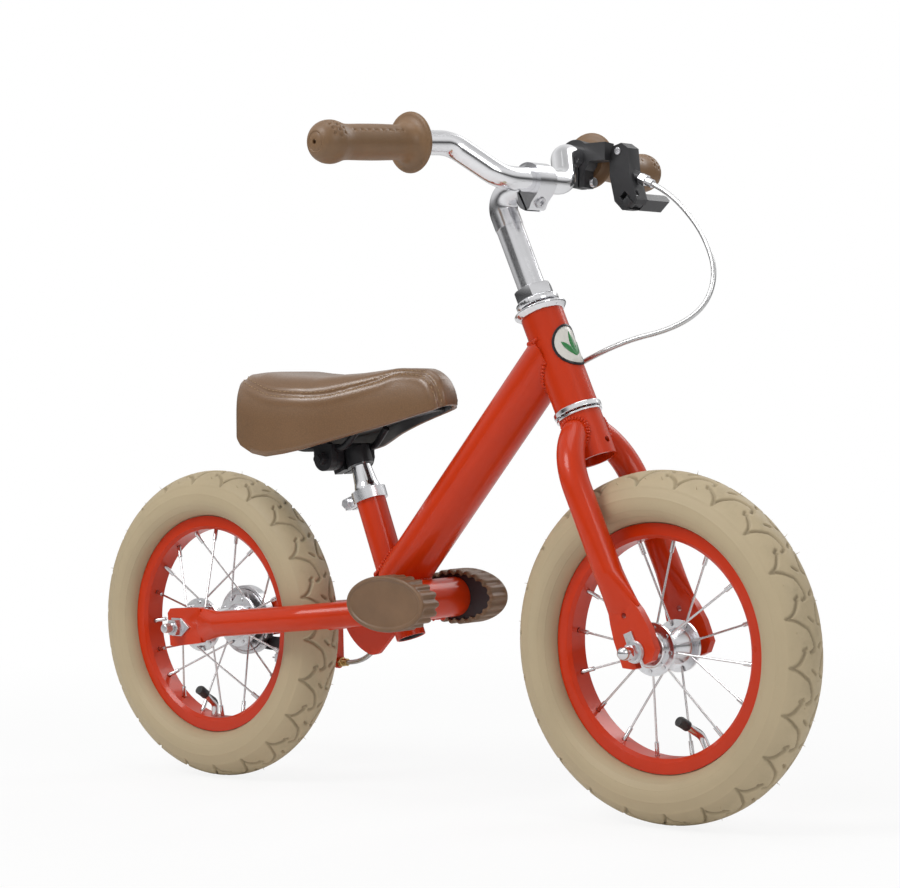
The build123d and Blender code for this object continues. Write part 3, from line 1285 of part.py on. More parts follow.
export_step(saddle_cover.part, "parts/saddle_cover.step")
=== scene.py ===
"""Visual scene of a small child's balance bike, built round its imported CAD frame.

Sizes are in millimetres in the classes and in metres in the finished meshes. X runs forward,
Y to the rider's left and Z up, with the origin on the ground half-way between the axles.
"""

import json
import logging
import math
import random
from dataclasses import dataclass, field
from enum import Enum
from typing import Any, Callable, Iterable, Optional, Sequence, Union

import bmesh
import bpy
import numpy as np
from mathutils import Matrix, Vector
from mathutils.bvhtree import BVHTree
from mathutils.kdtree import KDTree

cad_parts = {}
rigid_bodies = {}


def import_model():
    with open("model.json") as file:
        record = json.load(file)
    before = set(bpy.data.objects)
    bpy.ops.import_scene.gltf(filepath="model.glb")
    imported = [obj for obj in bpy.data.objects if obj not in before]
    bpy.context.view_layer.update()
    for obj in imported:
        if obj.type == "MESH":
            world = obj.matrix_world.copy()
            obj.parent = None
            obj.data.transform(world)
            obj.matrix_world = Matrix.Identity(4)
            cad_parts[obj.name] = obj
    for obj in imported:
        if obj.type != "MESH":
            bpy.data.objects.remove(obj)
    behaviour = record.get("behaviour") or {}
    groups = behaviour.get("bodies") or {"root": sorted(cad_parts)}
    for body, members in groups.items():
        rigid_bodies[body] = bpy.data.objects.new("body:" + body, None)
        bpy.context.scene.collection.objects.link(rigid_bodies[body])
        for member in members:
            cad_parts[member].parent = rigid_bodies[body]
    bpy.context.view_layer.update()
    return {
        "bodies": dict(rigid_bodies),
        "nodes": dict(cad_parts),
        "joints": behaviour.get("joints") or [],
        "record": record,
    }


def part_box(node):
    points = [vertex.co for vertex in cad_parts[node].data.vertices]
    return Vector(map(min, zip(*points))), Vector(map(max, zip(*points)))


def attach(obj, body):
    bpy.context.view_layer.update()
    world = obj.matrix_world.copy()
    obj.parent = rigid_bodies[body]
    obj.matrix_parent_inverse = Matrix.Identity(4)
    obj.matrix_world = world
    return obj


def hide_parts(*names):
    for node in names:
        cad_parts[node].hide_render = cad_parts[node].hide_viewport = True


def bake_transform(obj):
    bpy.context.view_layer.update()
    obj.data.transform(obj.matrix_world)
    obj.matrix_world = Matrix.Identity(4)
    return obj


log = logging.getLogger("balance_bike")

MM = 0.001
AXLE_Z = 156.0
FRONT_X = 280.0
REAR_X = -280.0
HEAD_ANGLE = math.radians(66.3)
SEAT_ANGLE = math.radians(69.8)
MAIN_ANGLE = math.radians(47.8)
HEAD_DIR = Vector((-math.cos(HEAD_ANGLE), 0, math.sin(HEAD_ANGLE)))
HEAD_FORWARD = Vector((math.sin(HEAD_ANGLE), 0, math.cos(HEAD_ANGLE)))
SEAT_DIR = Vector((-math.cos(SEAT_ANGLE), 0, math.sin(SEAT_ANGLE)))
SEAT_FORWARD = Vector((math.sin(SEAT_ANGLE), 0, math.cos(SEAT_ANGLE)))
MAIN_DIR = Vector((math.cos(MAIN_ANGLE), 0, math.sin(MAIN_ANGLE)))
MAIN_DOWN = Vector((math.sin(MAIN_ANGLE), 0, -math.cos(MAIN_ANGLE)))
SEAT_FOOT = Vector((-18, 0, 152))
MAIN_FOOT = Vector((-35.5, 0, 200.2))
LEFT = Vector((0, 1, 0))
UP = Vector((0, 0, 1))
CREASE = 38.0
FULL_TURN = range(-180, 180, 2)


class Side(Enum):
    """A side of the bike, as the sign of Y."""

    RIGHT = -1
    LEFT = 1

    def point(self, x: float, y: float, z: float) -> Vector:
        """A point whose distance to the side is measured towards this side."""
        return Vector((x, self.value * y, z))


def head_point(distance: float) -> Vector:
    """A point of the steering axis, by its distance above the front axle."""
    return Vector((FRONT_X, 0, AXLE_Z)) + HEAD_DIR * distance


def seat_point(distance: float) -> Vector:
    """A point of the seat tube's axis, by its distance above its foot."""
    return SEAT_FOOT + SEAT_DIR * distance


def place(origin: Vector, axis: Vector, forward: Vector) -> Matrix:
    """Place a local frame in the bike.

    Args:
        origin: Where the local origin goes.
        axis: Where local Z points.
        forward: Roughly where local X points.

    Returns:
        The matrix from local to bike coordinates, both in millimetres.
    """
    z = Vector(axis).normalized()
    x = (Vector(forward) - z * z.dot(Vector(forward))).normalized()
    y = z.cross(x)
    matrix = Matrix((x, y, z)).transposed().to_4x4()
    matrix.translation = origin
    return matrix


# ------------------------------------------------------------------ shading
Value = Union[float, "Wire"]


class Wire:
    """A node's output socket that adds its own Math nodes when it is used in an expression."""

    def __init__(self, graph: "Graph", socket: Any) -> None:
        """Hold a socket of a graph."""
        self.graph = graph
        self.socket = socket

    def _math(self, operation: str, *values: Value) -> "Wire":
        """Add a Math node of one operation on the values."""
        settings = {"operation": operation}
        return self.graph.add("ShaderNodeMath", settings, dict(enumerate(values)))

    def __add__(self, other: Value) -> "Wire":
        """Add."""
        return self._math("ADD", self, other)

    __radd__ = __add__

    def __mul__(self, other: Value) -> "Wire":
        """Multiply."""
        return self._math("MULTIPLY", self, other)

    __rmul__ = __mul__

    def __sub__(self, other: Value) -> "Wire":
        """Subtract the other from this."""
        return self._math("SUBTRACT", self, other)

    def __rsub__(self, other: Value) -> "Wire":
        """Subtract this from the other."""
        return self._math("SUBTRACT", other, self)

    def power(self, exponent: Value) -> "Wire":
        """Raise to a power."""
        return self._math("POWER", self, exponent)

    def size(self) -> "Wire":
        """Take the absolute value."""
        return self._math("ABSOLUTE", self)

    def smaller(self, other: Value) -> "Wire":
        """Take the smaller of two values."""
        return self._math("MINIMUM", self, other)

    def larger(self, other: Value) -> "Wire":
        """Take the larger of two values."""
        return self._math("MAXIMUM", self, other)

    def ramp(self, low: float, high: float) -> "Wire":
        """Rise smoothly from zero at low to one at high."""
        settings = {"interpolation_type": "SMOOTHSTEP"}
        sockets = {"Value": self, "From Min": low, "From Max": high}
        return self.graph.add("ShaderNodeMapRange", settings, sockets)


class Graph:
    """A graph of shader nodes."""

    def __init__(self, owner: Any) -> None:
        """Start an empty graph in a material or world."""
        owner.use_nodes = True
        self.tree = owner.node_tree
        self.tree.nodes.clear()

    def add(self, kind: str, settings: dict[str, Any], sockets: dict[Any, Any], output: Any = 0) -> Wire:
        """Add one node.

        Args:
            kind: The node's type.
            settings: Attributes set before the sockets.
            sockets: Values or wires by input name or number.
            output: The output to hand back.

        Returns:
            The chosen output as a wire.
        """
        node = self.tree.nodes.new(kind)
        for key, value in settings.items():
            if key == "stops":
                self._stops(node, value)
            else:
                setattr(node, key, value)
        for key, value in sockets.items():
            self.plug(node.inputs[key], value)
        return Wire(self, node.outputs[output])

    @staticmethod
    def _stops(node: Any, stops: Sequence[tuple[float, Sequence[float]]]) -> None:
        """Set a colour ramp's stops."""
        elements = node.color_ramp.elements
        while len(elements) < len(stops):
            elements.new(0.5)
        for element, (position, colour) in zip(elements, stops):
            element.position = position
            element.color = (*colour, 1.0)

    def plug(self, socket: Any, value: Any) -> None:
        """Link a wire to an input, or write a value there."""
        if isinstance(value, Wire):
            self.tree.links.new(value.socket, socket)
        else:
            socket.default_value = value

    def position(self) -> Wire:
        """The point on the piece, in metres."""
        return self.add("ShaderNodeTexCoord", {}, {}, "Object")

    def part(self, vector: Wire, axis: str) -> Wire:
        """One component of a vector."""
        return self.add("ShaderNodeSeparateXYZ", {}, {0: vector}, axis)

    def noise(self, scale: float, detail: float = 3.0, roughness: float = 0.5,
              vector: Optional[Wire] = None) -> Wire:
        """Fractal noise from 0 to 1 over the piece."""
        sockets = {"Vector": vector or self.position(), "Scale": scale, "Detail": detail,
                   "Roughness": roughness}
        return self.add("ShaderNodeTexNoise", {}, sockets, 0)

    def cells(self, scale: float, vector: Wire) -> Wire:
        """Distance to the nearest border between cells."""
        settings = {"feature": "DISTANCE_TO_EDGE"}
        return self.add("ShaderNodeTexVoronoi", settings, {"Vector": vector, "Scale": scale}, "Distance")

    def mix(self, factor: Value, first: Any, second: Any) -> Wire:
        """Mix two colours."""
        first = (*first, 1.0) if isinstance(first, tuple) else first
        second = (*second, 1.0) if isinstance(second, tuple) else second
        return self.add("ShaderNodeMix", {"data_type": "RGBA"}, {0: factor, 6: first, 7: second}, 2)

    def bump(self, height: Wire, depth_mm: float, strength: float) -> Wire:
        """Turn a height from 0 to 1 into a bumped normal."""
        sockets = {"Height": height, "Distance": depth_mm * MM, "Strength": strength}
        return self.add("ShaderNodeBump", {}, sockets)

    def ray(self, kind: str) -> Wire:
        """One where a ray is of a kind, such as Camera, and zero elsewhere."""
        return self.add("ShaderNodeLightPath", {}, {}, f"Is {kind} Ray")

    def blend(self, factor: Wire, first: Wire, second: Wire) -> Wire:
        """Mix two shaders."""
        return self.add("ShaderNodeMixShader", {}, {0: factor, 1: first, 2: second})

    def finish(self, kind: str, shader: Wire) -> None:
        """Link a shader to an output node of a kind."""
        self.plug(self.tree.nodes.new(kind).inputs[0], shader)


class Surface(Graph):
    """The graph of one material, round its Principled shader."""

    def __init__(self, name: str) -> None:
        """Make the material with its Principled shader."""
        self.material = bpy.data.materials.new(name)
        super().__init__(self.material)
        self.shader = self.tree.nodes.new("ShaderNodeBsdfPrincipled")

    def set(self, **sockets: Any) -> Wire:
        """Set the Principled shader's inputs, with spaces written as underscores."""
        for key, value in sockets.items():
            self.plug(self.shader.inputs[key.replace("_", " ")], value)
        return Wire(self, self.shader.outputs[0])

    def done(self, shader: Wire) -> Any:
        """Output a shader and hand the material back."""
        self.finish("ShaderNodeOutputMaterial", shader)
        return self.material


Colour = tuple[float, float, float]
WHITE: Colour = (1.0, 1.0, 1.0)


@dataclass(frozen=True)
class Finish:
    """A surface finish: its name, the record's material slot it belongs to and its colour."""

    name: str
    slot: str
    colour: Colour

    def dress(self, graph: Surface) -> Wire:
        """Fill the graph in and give its shader; each kind of finish has its own way."""
        raise NotImplementedError

    def material(self) -> Any:
        """The Blender material, made on first use."""
        name = f"{self.name}_finish"
        found = bpy.data.materials.get(name)
        if found:
            return found
        graph = Surface(name)
        return graph.done(self.dress(graph))


def shade(colour: Colour, factor: float) -> Colour:
    """A colour made darker or lighter."""
    return tuple(min(1.0, channel * factor) for channel in colour)


@dataclass(frozen=True)
class Paint(Finish):
    """Satin powder coat with a faint orange-peel surface and a slightly mottled colour."""

    roughness: float = 0.3
    coat: float = 0.25
    mottle_scale: float = 28.0
    peel_scale: float = 900.0
    peel_depth: float = 0.04

    def dress(self, graph: Surface) -> Wire:
        """Mottle the colour slightly and ripple the surface."""
        mottle = graph.noise(self.mottle_scale, 4)
        colour = graph.mix(mottle, shade(self.colour, 0.93), shade(self.colour, 1.05))
        peel = graph.noise(self.peel_scale, 2)
        return graph.set(Base_Color=colour, Roughness=self.roughness + (mottle - 0.5) * 0.1, Metallic=0.0,
                         Coat_Weight=self.coat, Coat_Roughness=0.08, Specular_IOR_Level=0.2,
                         Normal=graph.bump(peel, self.peel_depth, 0.3))


@dataclass(frozen=True)
class Metal(Finish):
    """Bare or plated metal, with fine scratches and smears."""

    roughness: float = 0.2
    grain: float = 60.0
    stretch: Colour = (1.0, 1.0, 1.0)
    wear: float = 0.12
    fineness: float = 20.0
    depth: float = 0.02

    def dress(self, graph: Surface) -> Wire:
        """Vary the gloss along the grain and dull it in patches."""
        stretched = graph.add("ShaderNodeMapping", {}, {"Vector": graph.position(), "Scale": self.stretch})
        grain = graph.noise(self.grain * self.fineness, 2, 0.6, stretched)
        smear = graph.noise(self.grain, 3)
        colour = graph.mix(smear, shade(self.colour, 0.88), shade(self.colour, 1.04))
        rough = self.roughness + (grain - 0.5) * self.wear + (smear - 0.5) * self.wear
        normal = graph.bump(grain, self.depth, 0.3)
        return graph.set(Base_Color=colour, Metallic=1.0, Roughness=rough, Normal=normal)


@dataclass(frozen=True)
class Plastic(Finish):
    """Moulded plastic or rubber with a fine matt texture."""

    roughness: float = 0.5
    texture: float = 700.0
    depth: float = 0.04
    dust_scale: float = 18.0
    dusty: float = 1.35

    def dress(self, graph: Surface) -> Wire:
        """Texture the surface and let it pick up a little dust."""
        fine = graph.noise(self.texture, 3, 0.6)
        dust = graph.noise(self.dust_scale, 4, 0.6)
        colour = graph.mix(dust.ramp(0.35, 0.8), self.colour, shade(self.colour, self.dusty))
        rough = self.roughness + (fine - 0.5) * 0.18 + (dust - 0.5) * 0.12
        return graph.set(Base_Color=colour, Roughness=rough, Normal=graph.bump(fine, self.depth, 0.6))


@dataclass(frozen=True)
class TyreRubber(Finish):
    """Cream tyre rubber with moulded rings on its sidewalls, a little grime low in the tread and painted
    shade in its cuts.
    """

    axle_x: float = 0.0
    ring_radii: tuple[float, float] = (0.1222, 0.1165)
    ring_sharpness: tuple[float, float] = (1600.0, 1900.0)
    grimy_radii: tuple[float, float] = (0.140, 0.157)
    grain_scale: float = 850.0
    patch_scale: float = 14.0
    speck_scale: float = 240.0
    grime_scale: float = 60.0
    tones: tuple[float, float] = (0.9, 1.07)
    # Shares of the darkening: grime and specks are dirt, and the third is painted shade in the tread's cuts.
    # The limit below caps all three together.
    dirt_and_groove_shade: tuple[float, float, float] = (0.28, 0.12, 0.5)
    darkest_dirt_and_shade: float = 0.75
    roughness: float = 0.56
    depth: float = 0.35

    def ring(self, radius: Wire, index: int) -> Wire:
        """The height of one raised ring, from 0 to 1, at a distance from the axle."""
        return 1 - ((radius - self.ring_radii[index]).size() * self.ring_sharpness[index]).smaller(1)

    def dress(self, graph: Surface) -> Wire:
        """Ring the sidewall by its distance from the axle, paint shade into the cuts and grain the rest."""
        where = graph.position()
        side = graph.part(where, "X") - self.axle_x * MM
        height = graph.part(where, "Z") - AXLE_Z * MM
        radius = (side * side + height * height).power(0.5)
        rings = self.ring(radius, 0) + self.ring(radius, 1)
        fine = graph.noise(self.grain_scale, 3, 0.65)
        patch = graph.noise(self.patch_scale, 4, 0.6)
        speck = graph.noise(self.speck_scale, 4, 0.75).ramp(0.62, 0.75)
        cut = graph.add("ShaderNodeAttribute", {"attribute_name": "groove"}, {}, "Fac")
        grime = radius.ramp(*self.grimy_radii) * graph.noise(self.grime_scale, 4, 0.7).ramp(0.4, 0.75)
        base = graph.mix(patch, *(shade(self.colour, tone) for tone in self.tones))
        # Grime and specks are dirt; the groove share paints shade into the cuts.
        grimy, specked, groove_shade = self.dirt_and_groove_shade
        dirt_and_groove_shade = (grime * grimy + speck * specked + cut * groove_shade).smaller(self.darkest_dirt_and_shade)
        return graph.set(Base_Color=graph.mix(dirt_and_groove_shade, base, shade(self.colour, 0.5)), Specular_IOR_Level=0.4,
                         Roughness=self.roughness + (fine - 0.5) * 0.2,
                         Normal=graph.bump(rings * 0.6 + fine * 0.22, self.depth, 0.8))


@dataclass(frozen=True)
class Leatherette(Finish):
    """Grained synthetic leather: small cells with painted shade in the hollows between them, faint creases
    and a soft gloss.
    """

    roughness: float = 0.3
    scale: float = 520.0
    warp: float = 0.0016
    coat: float = 0.35
    coat_roughness: float = 0.22
    grain_scale: float = 180.0
    warp_scale: float = 220.0
    crease_scale: float = 55.0
    tone_scale: float = 16.0
    tones: tuple[float, float] = (0.86, 1.12)
    # How dark the painted shade in the grain's hollows is.
    hollow_shade: float = 0.55
    depth: float = 0.08

    def dress(self, graph: Surface) -> Wire:
        """Grain the surface with cells broken up by noise, painting shade into the hollows between them."""
        fine = graph.noise(self.grain_scale, 2)
        base = graph.position()
        shift = graph.add("ShaderNodeTexNoise", {}, {"Vector": base, "Scale": self.warp_scale}, 1)
        mixed = graph.add("ShaderNodeVectorMath", {"operation": "MULTIPLY_ADD"},
                          {0: shift, 1: (self.warp,) * 3, 2: base})
        cells = graph.cells(self.scale, mixed).ramp(0.0, 0.22)
        creases = graph.noise(self.crease_scale, 5, 0.7).ramp(0.3, 0.7)
        tone = graph.noise(self.tone_scale, 3, 0.55)
        colour = graph.mix(tone, *(shade(self.colour, value) for value in self.tones))
        # Painted shade: the colour darkens in the hollows between the grain's cells.
        colour = graph.mix((1 - cells) * 0.35, colour, shade(self.colour, self.hollow_shade))
        rough = self.roughness + (tone - 0.5) * 0.12 + (1 - cells) * 0.12
        height = cells * 0.7 + creases * 0.2 + fine * 0.1
        return graph.set(Base_Color=colour, Roughness=rough, Coat_Weight=self.coat,
                         Coat_Roughness=self.coat_roughness,
                         Normal=graph.bump(height, self.depth, 0.45))


FRAME_PAINT = Paint("frame_paint", "frame_paint", (0.60, 0.036, 0.003))
RIM_PAINT = Paint("rim_paint", "rim_paint", (0.60, 0.034, 0.003))
FRONT_RUBBER = TyreRubber("front_tyre_rubber", "tyre_cream", (0.50, 0.405, 0.258), FRONT_X)
REAR_RUBBER = TyreRubber("rear_tyre_rubber", "tyre_cream", (0.50, 0.405, 0.258), REAR_X)
TUBE_RUBBER = Plastic("tube_rubber", "tube_rubber", (0.03, 0.03, 0.03), 0.6)
HUB_SILVER = Metal("hub_silver", "hub_silver", (0.80, 0.80, 0.82), 0.22, 40, (1, 14, 1))
SPOKE_STEEL = Metal("spoke_steel", "spoke_steel", (0.72, 0.72, 0.73), 0.24)
ZINC = Metal("zinc", "zinc", (0.68, 0.68, 0.70), 0.3, 70)
CHROME = Metal("chrome", "chrome", (0.84, 0.84, 0.86), 0.1, 30, (1, 1, 1), 0.05)
BAR_CHROME = Metal("bar_chrome", "chrome", (0.86, 0.86, 0.88), 0.14, 30, (12, 1, 12), 0.08)
STEM_ALLOY = Metal("stem_alloy", "stem_alloy", (0.78, 0.78, 0.80), 0.2, 50)
COLLAR_ALLOY = Metal("collar_alloy", "collar_alloy", (0.74, 0.74, 0.76), 0.28, 60)
BLACK_PLASTIC = Plastic("black_plastic", "black_plastic", (0.022, 0.022, 0.024), 0.42)
BLACK_METAL = Paint("black_metal", "black_metal", (0.02, 0.02, 0.022), 0.38, 0.15)
GRIP_BROWN = Plastic("grip_brown", "grip_brown", (0.195, 0.11, 0.052), 0.46, 500, 0.05)
FOOTREST_BROWN = Plastic("footrest_brown", "footrest_brown", (0.165, 0.093, 0.048), 0.44, 450, 0.05)
SADDLE_BROWN = Leatherette("saddle_leatherette", "saddle_brown", (0.2, 0.106, 0.047))
THREAD = Plastic("thread", "saddle_brown", (0.36, 0.235, 0.125), 0.7, 900, 0.05)
CABLE_GREY = Metal("cable_sleeve", "cable_grey", (0.62, 0.62, 0.62), 0.34, 60)
BADGE_GREEN = Paint("badge_green", "frame_paint", (0.03, 0.22, 0.06), 0.3, 0.3)
BADGE_PALE = Paint("badge_pale", "frame_paint", (0.78, 0.76, 0.70), 0.3, 0.4)
NUT_STEEL = Metal("nut_steel", "zinc", (0.74, 0.74, 0.76), 0.16, 60)
BRASS = Metal("brass", "brass", (0.62, 0.44, 0.19), 0.28, 60)


# ------------------------------------------------------------------ meshes
def smooth_shade(mesh: Any, angle: float) -> None:
    """Shade a mesh smoothly, with creases at edges sharper than an angle in degrees."""
    for polygon in mesh.polygons:
        polygon.use_smooth = True
    mesh.set_sharp_from_angle(angle=math.radians(angle))


def link(obj: Any) -> Any:
    """Put an object in the scene."""
    bpy.context.scene.collection.objects.link(obj)
    return obj


def dress_piece(obj: Any, finish: Finish, body: str, nodes: Iterable[str] = ()) -> Any:
    """Give a piece its finish and body, and hide the CAD nodes it stands for.

    Args:
        obj: The finished piece, with its place in its mesh.
        finish: What its surface is.
        body: The CAD body it moves with, or nothing for a piece left without a body.
        nodes: The CAD nodes it replaces.

    Returns:
        The piece.
    """
    if not obj.data.materials:
        obj.data.materials.append(finish.material())
    if body:
        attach(obj, body)
    if nodes:
        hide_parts(*nodes)
    log.info("%s on %s, in %s", obj.name, body or "two bodies", finish.name)
    return obj


@dataclass
class Carried:
    """A CAD node shown through a cleaned copy whose edges are softened."""

    node: str
    body: str
    finish: Finish
    soften: float = 0.4
    rounds: int = 2
    merge: float = 0.01
    flat: float = 0.6

    def build(self, frame: dict[str, Any]) -> Any:
        """Copy the node, join its loose triangles, soften its edges and dress it.

        Args:
            frame: The loaded frame.

        Returns:
            The copy.
        """
        mesh = frame["nodes"][self.node].data.copy()
        mesh.materials.clear()
        bm = bmesh.new()
        bm.from_mesh(mesh)
        bmesh.ops.remove_doubles(bm, verts=bm.verts, dist=self.merge * MM)
        bmesh.ops.dissolve_limit(bm, angle_limit=math.radians(self.flat), verts=bm.verts, edges=bm.edges,
                                 use_dissolve_boundaries=False)
        bm.to_mesh(mesh)
        bm.free()
        obj = link(bpy.data.objects.new(f"{self.node}_shown", mesh))
        smooth_shade(mesh, CREASE)
        bevel = obj.modifiers.new("soften", "BEVEL")
        bevel.width = self.soften * MM
        bevel.segments = self.rounds
        bevel.limit_method = "ANGLE"
        bevel.angle_limit = math.radians(CREASE)
        bevel.harden_normals = True
        return dress_piece(obj, self.finish, self.body, [self.node])


# ------------------------------------------------------------------ shaping
Outline = Sequence[tuple[float, float]]


def eased(points: Sequence[Sequence[float]], amount: float) -> Vector:
    """A point of the smooth curve through points.

    Args:
        points: What the curve passes through.
        amount: 0 at the first point and 1 at the last.

    Returns:
        The point of a Catmull-Rom curve there.
    """
    spot = min(max(amount, 0.0), 1.0) * (len(points) - 1)
    index = min(int(spot), len(points) - 2)
    t = spot - index
    near = [Vector(points[min(max(index + k, 0), len(points) - 1)]) for k in (-1, 0, 1, 2)]
    bend = 2 * near[0] - 5 * near[1] + 4 * near[2] - near[3]
    twist = 3 * near[1] - near[0] - 3 * near[2] + near[3]
    return 0.5 * (2 * near[1] + (near[2] - near[0]) * t + bend * t * t + twist * t * t * t)


def level(table: Outline, x: float) -> float:
    """The value at x in a table of (x, value) rows, on a straight line between rows."""
    if x <= table[0][0]:
        return table[0][1]
    for (x0, y0), (x1, y1) in zip(table, table[1:]):
        if x <= x1:
            return y0 + (y1 - y0) * (x - x0) / (x1 - x0)
    return table[-1][1]


class Shape:
    """A mesh in the making, in bike millimetres."""

    def __init__(self, name: str) -> None:
        """Start an empty mesh."""
        self.name = name
        self.bm = bmesh.new()

    def lathe(self, outline: Outline, where: Matrix, steps: int = 48, closed: bool = False) -> None:
        """Spin an outline round a local Z axis.

        Args:
            outline: (radius, height) points.
            where: The local frame.
            steps: How many faces go round.
            closed: Whether the last point joins the first.
        """
        verts = [self.bm.verts.new(where @ Vector((radius, 0, height))) for radius, height in outline]
        pairs = list(zip(verts, verts[1:])) + ([(verts[-1], verts[0])] if closed else [])
        edges = [self.bm.edges.new(pair) for pair in pairs]
        bmesh.ops.spin(self.bm, geom=verts + edges, cent=where.translation, axis=where.to_3x3() @ UP,
                       angle=math.tau, steps=steps, use_merge=True)

    def ring(self, points: Sequence[Vector]) -> list[Any]:
        """A closed ring of edges through points, from a circle moved on to them."""
        made = bmesh.ops.create_circle(self.bm, cap_ends=False, radius=1, segments=len(points))["verts"]
        for vert, point in zip(made, points):
            vert.co = point
        return list({edge: None for vert in made for edge in vert.link_edges})

    def loft(self, rings: Sequence[Sequence[Vector]], filled: Sequence[int] = (0, -1)) -> None:
        """Bridge rings of equally many points one after another.

        Args:
            rings: The rings' points.
            filled: Which rings are filled in, by their index.
        """
        loops = [self.ring(points) for points in rings]
        for first, second in zip(loops, loops[1:]):
            bmesh.ops.bridge_loops(self.bm, edges=first + second)
        for index in filled:
            bmesh.ops.edgeloop_fill(self.bm, edges=loops[index])

    def sweep(self, points: Sequence[Vector], section: Callable[[float, float], float],
              segments: int) -> None:
        """Loft a round section along points.

        Args:
            points: The centre line.
            section: The radius, by the share of the way along and the angle round it.
            segments: Points round the section.
        """
        side = None
        rings = []
        angles = [k * math.tau / segments for k in range(segments)]
        for index, point in enumerate(points):
            ahead = (points[min(index + 1, len(points) - 1)] - points[max(index - 1, 0)]).normalized()
            if side is None:
                side = ahead.orthogonal().normalized()
            side = (side - ahead * ahead.dot(side)).normalized()
            other = ahead.cross(side)
            share = index / (len(points) - 1)
            rings.append([point + (side * math.cos(a) + other * math.sin(a)) * section(share, a)
                          for a in angles])
        self.loft(rings)

    def bead(self, where: Matrix, detail: int = 1) -> None:
        """A small ball, stretched and placed by a matrix."""
        bmesh.ops.create_icosphere(self.bm, subdivisions=detail, radius=1, matrix=where)

    def grid(self, across: int, along: int, spot: Callable[[float, float], Vector]) -> list[Any]:
        """A grid of faces laid on a surface.

        Args:
            across: Faces one way.
            along: Faces the other way.
            spot: The surface point at two shares from 0 to 1.

        Returns:
            The grid's vertices.
        """
        made = bmesh.ops.create_grid(self.bm, x_segments=across, y_segments=along, size=0.5)["verts"]
        for vert in made:
            vert.co = spot(min(max(vert.co.x + 0.5, 0), 1), min(max(vert.co.y + 0.5, 0), 1))
        return made

    def done(self, finish: Finish, body: str, nodes: Iterable[str] = (), crease: float = CREASE,
             weld: float = 0.004) -> Any:
        """Close the mesh, bring it to metres and dress it.

        Args:
            finish: What its surface is.
            body: The CAD body it moves with.
            nodes: The CAD nodes it replaces.
            crease: The sharpest angle shaded smoothly, in degrees.
            weld: Vertices nearer than this are joined.

        Returns:
            The piece.
        """
        bmesh.ops.remove_doubles(self.bm, verts=self.bm.verts, dist=weld)
        bmesh.ops.recalc_face_normals(self.bm, faces=self.bm.faces)
        bmesh.ops.scale(self.bm, verts=self.bm.verts, vec=(MM, MM, MM))
        mesh = bpy.data.meshes.new(self.name)
        self.bm.to_mesh(mesh)
        self.bm.free()
        obj = link(bpy.data.objects.new(self.name, mesh))
        smooth_shade(mesh, crease)
        return dress_piece(obj, finish, body, nodes)


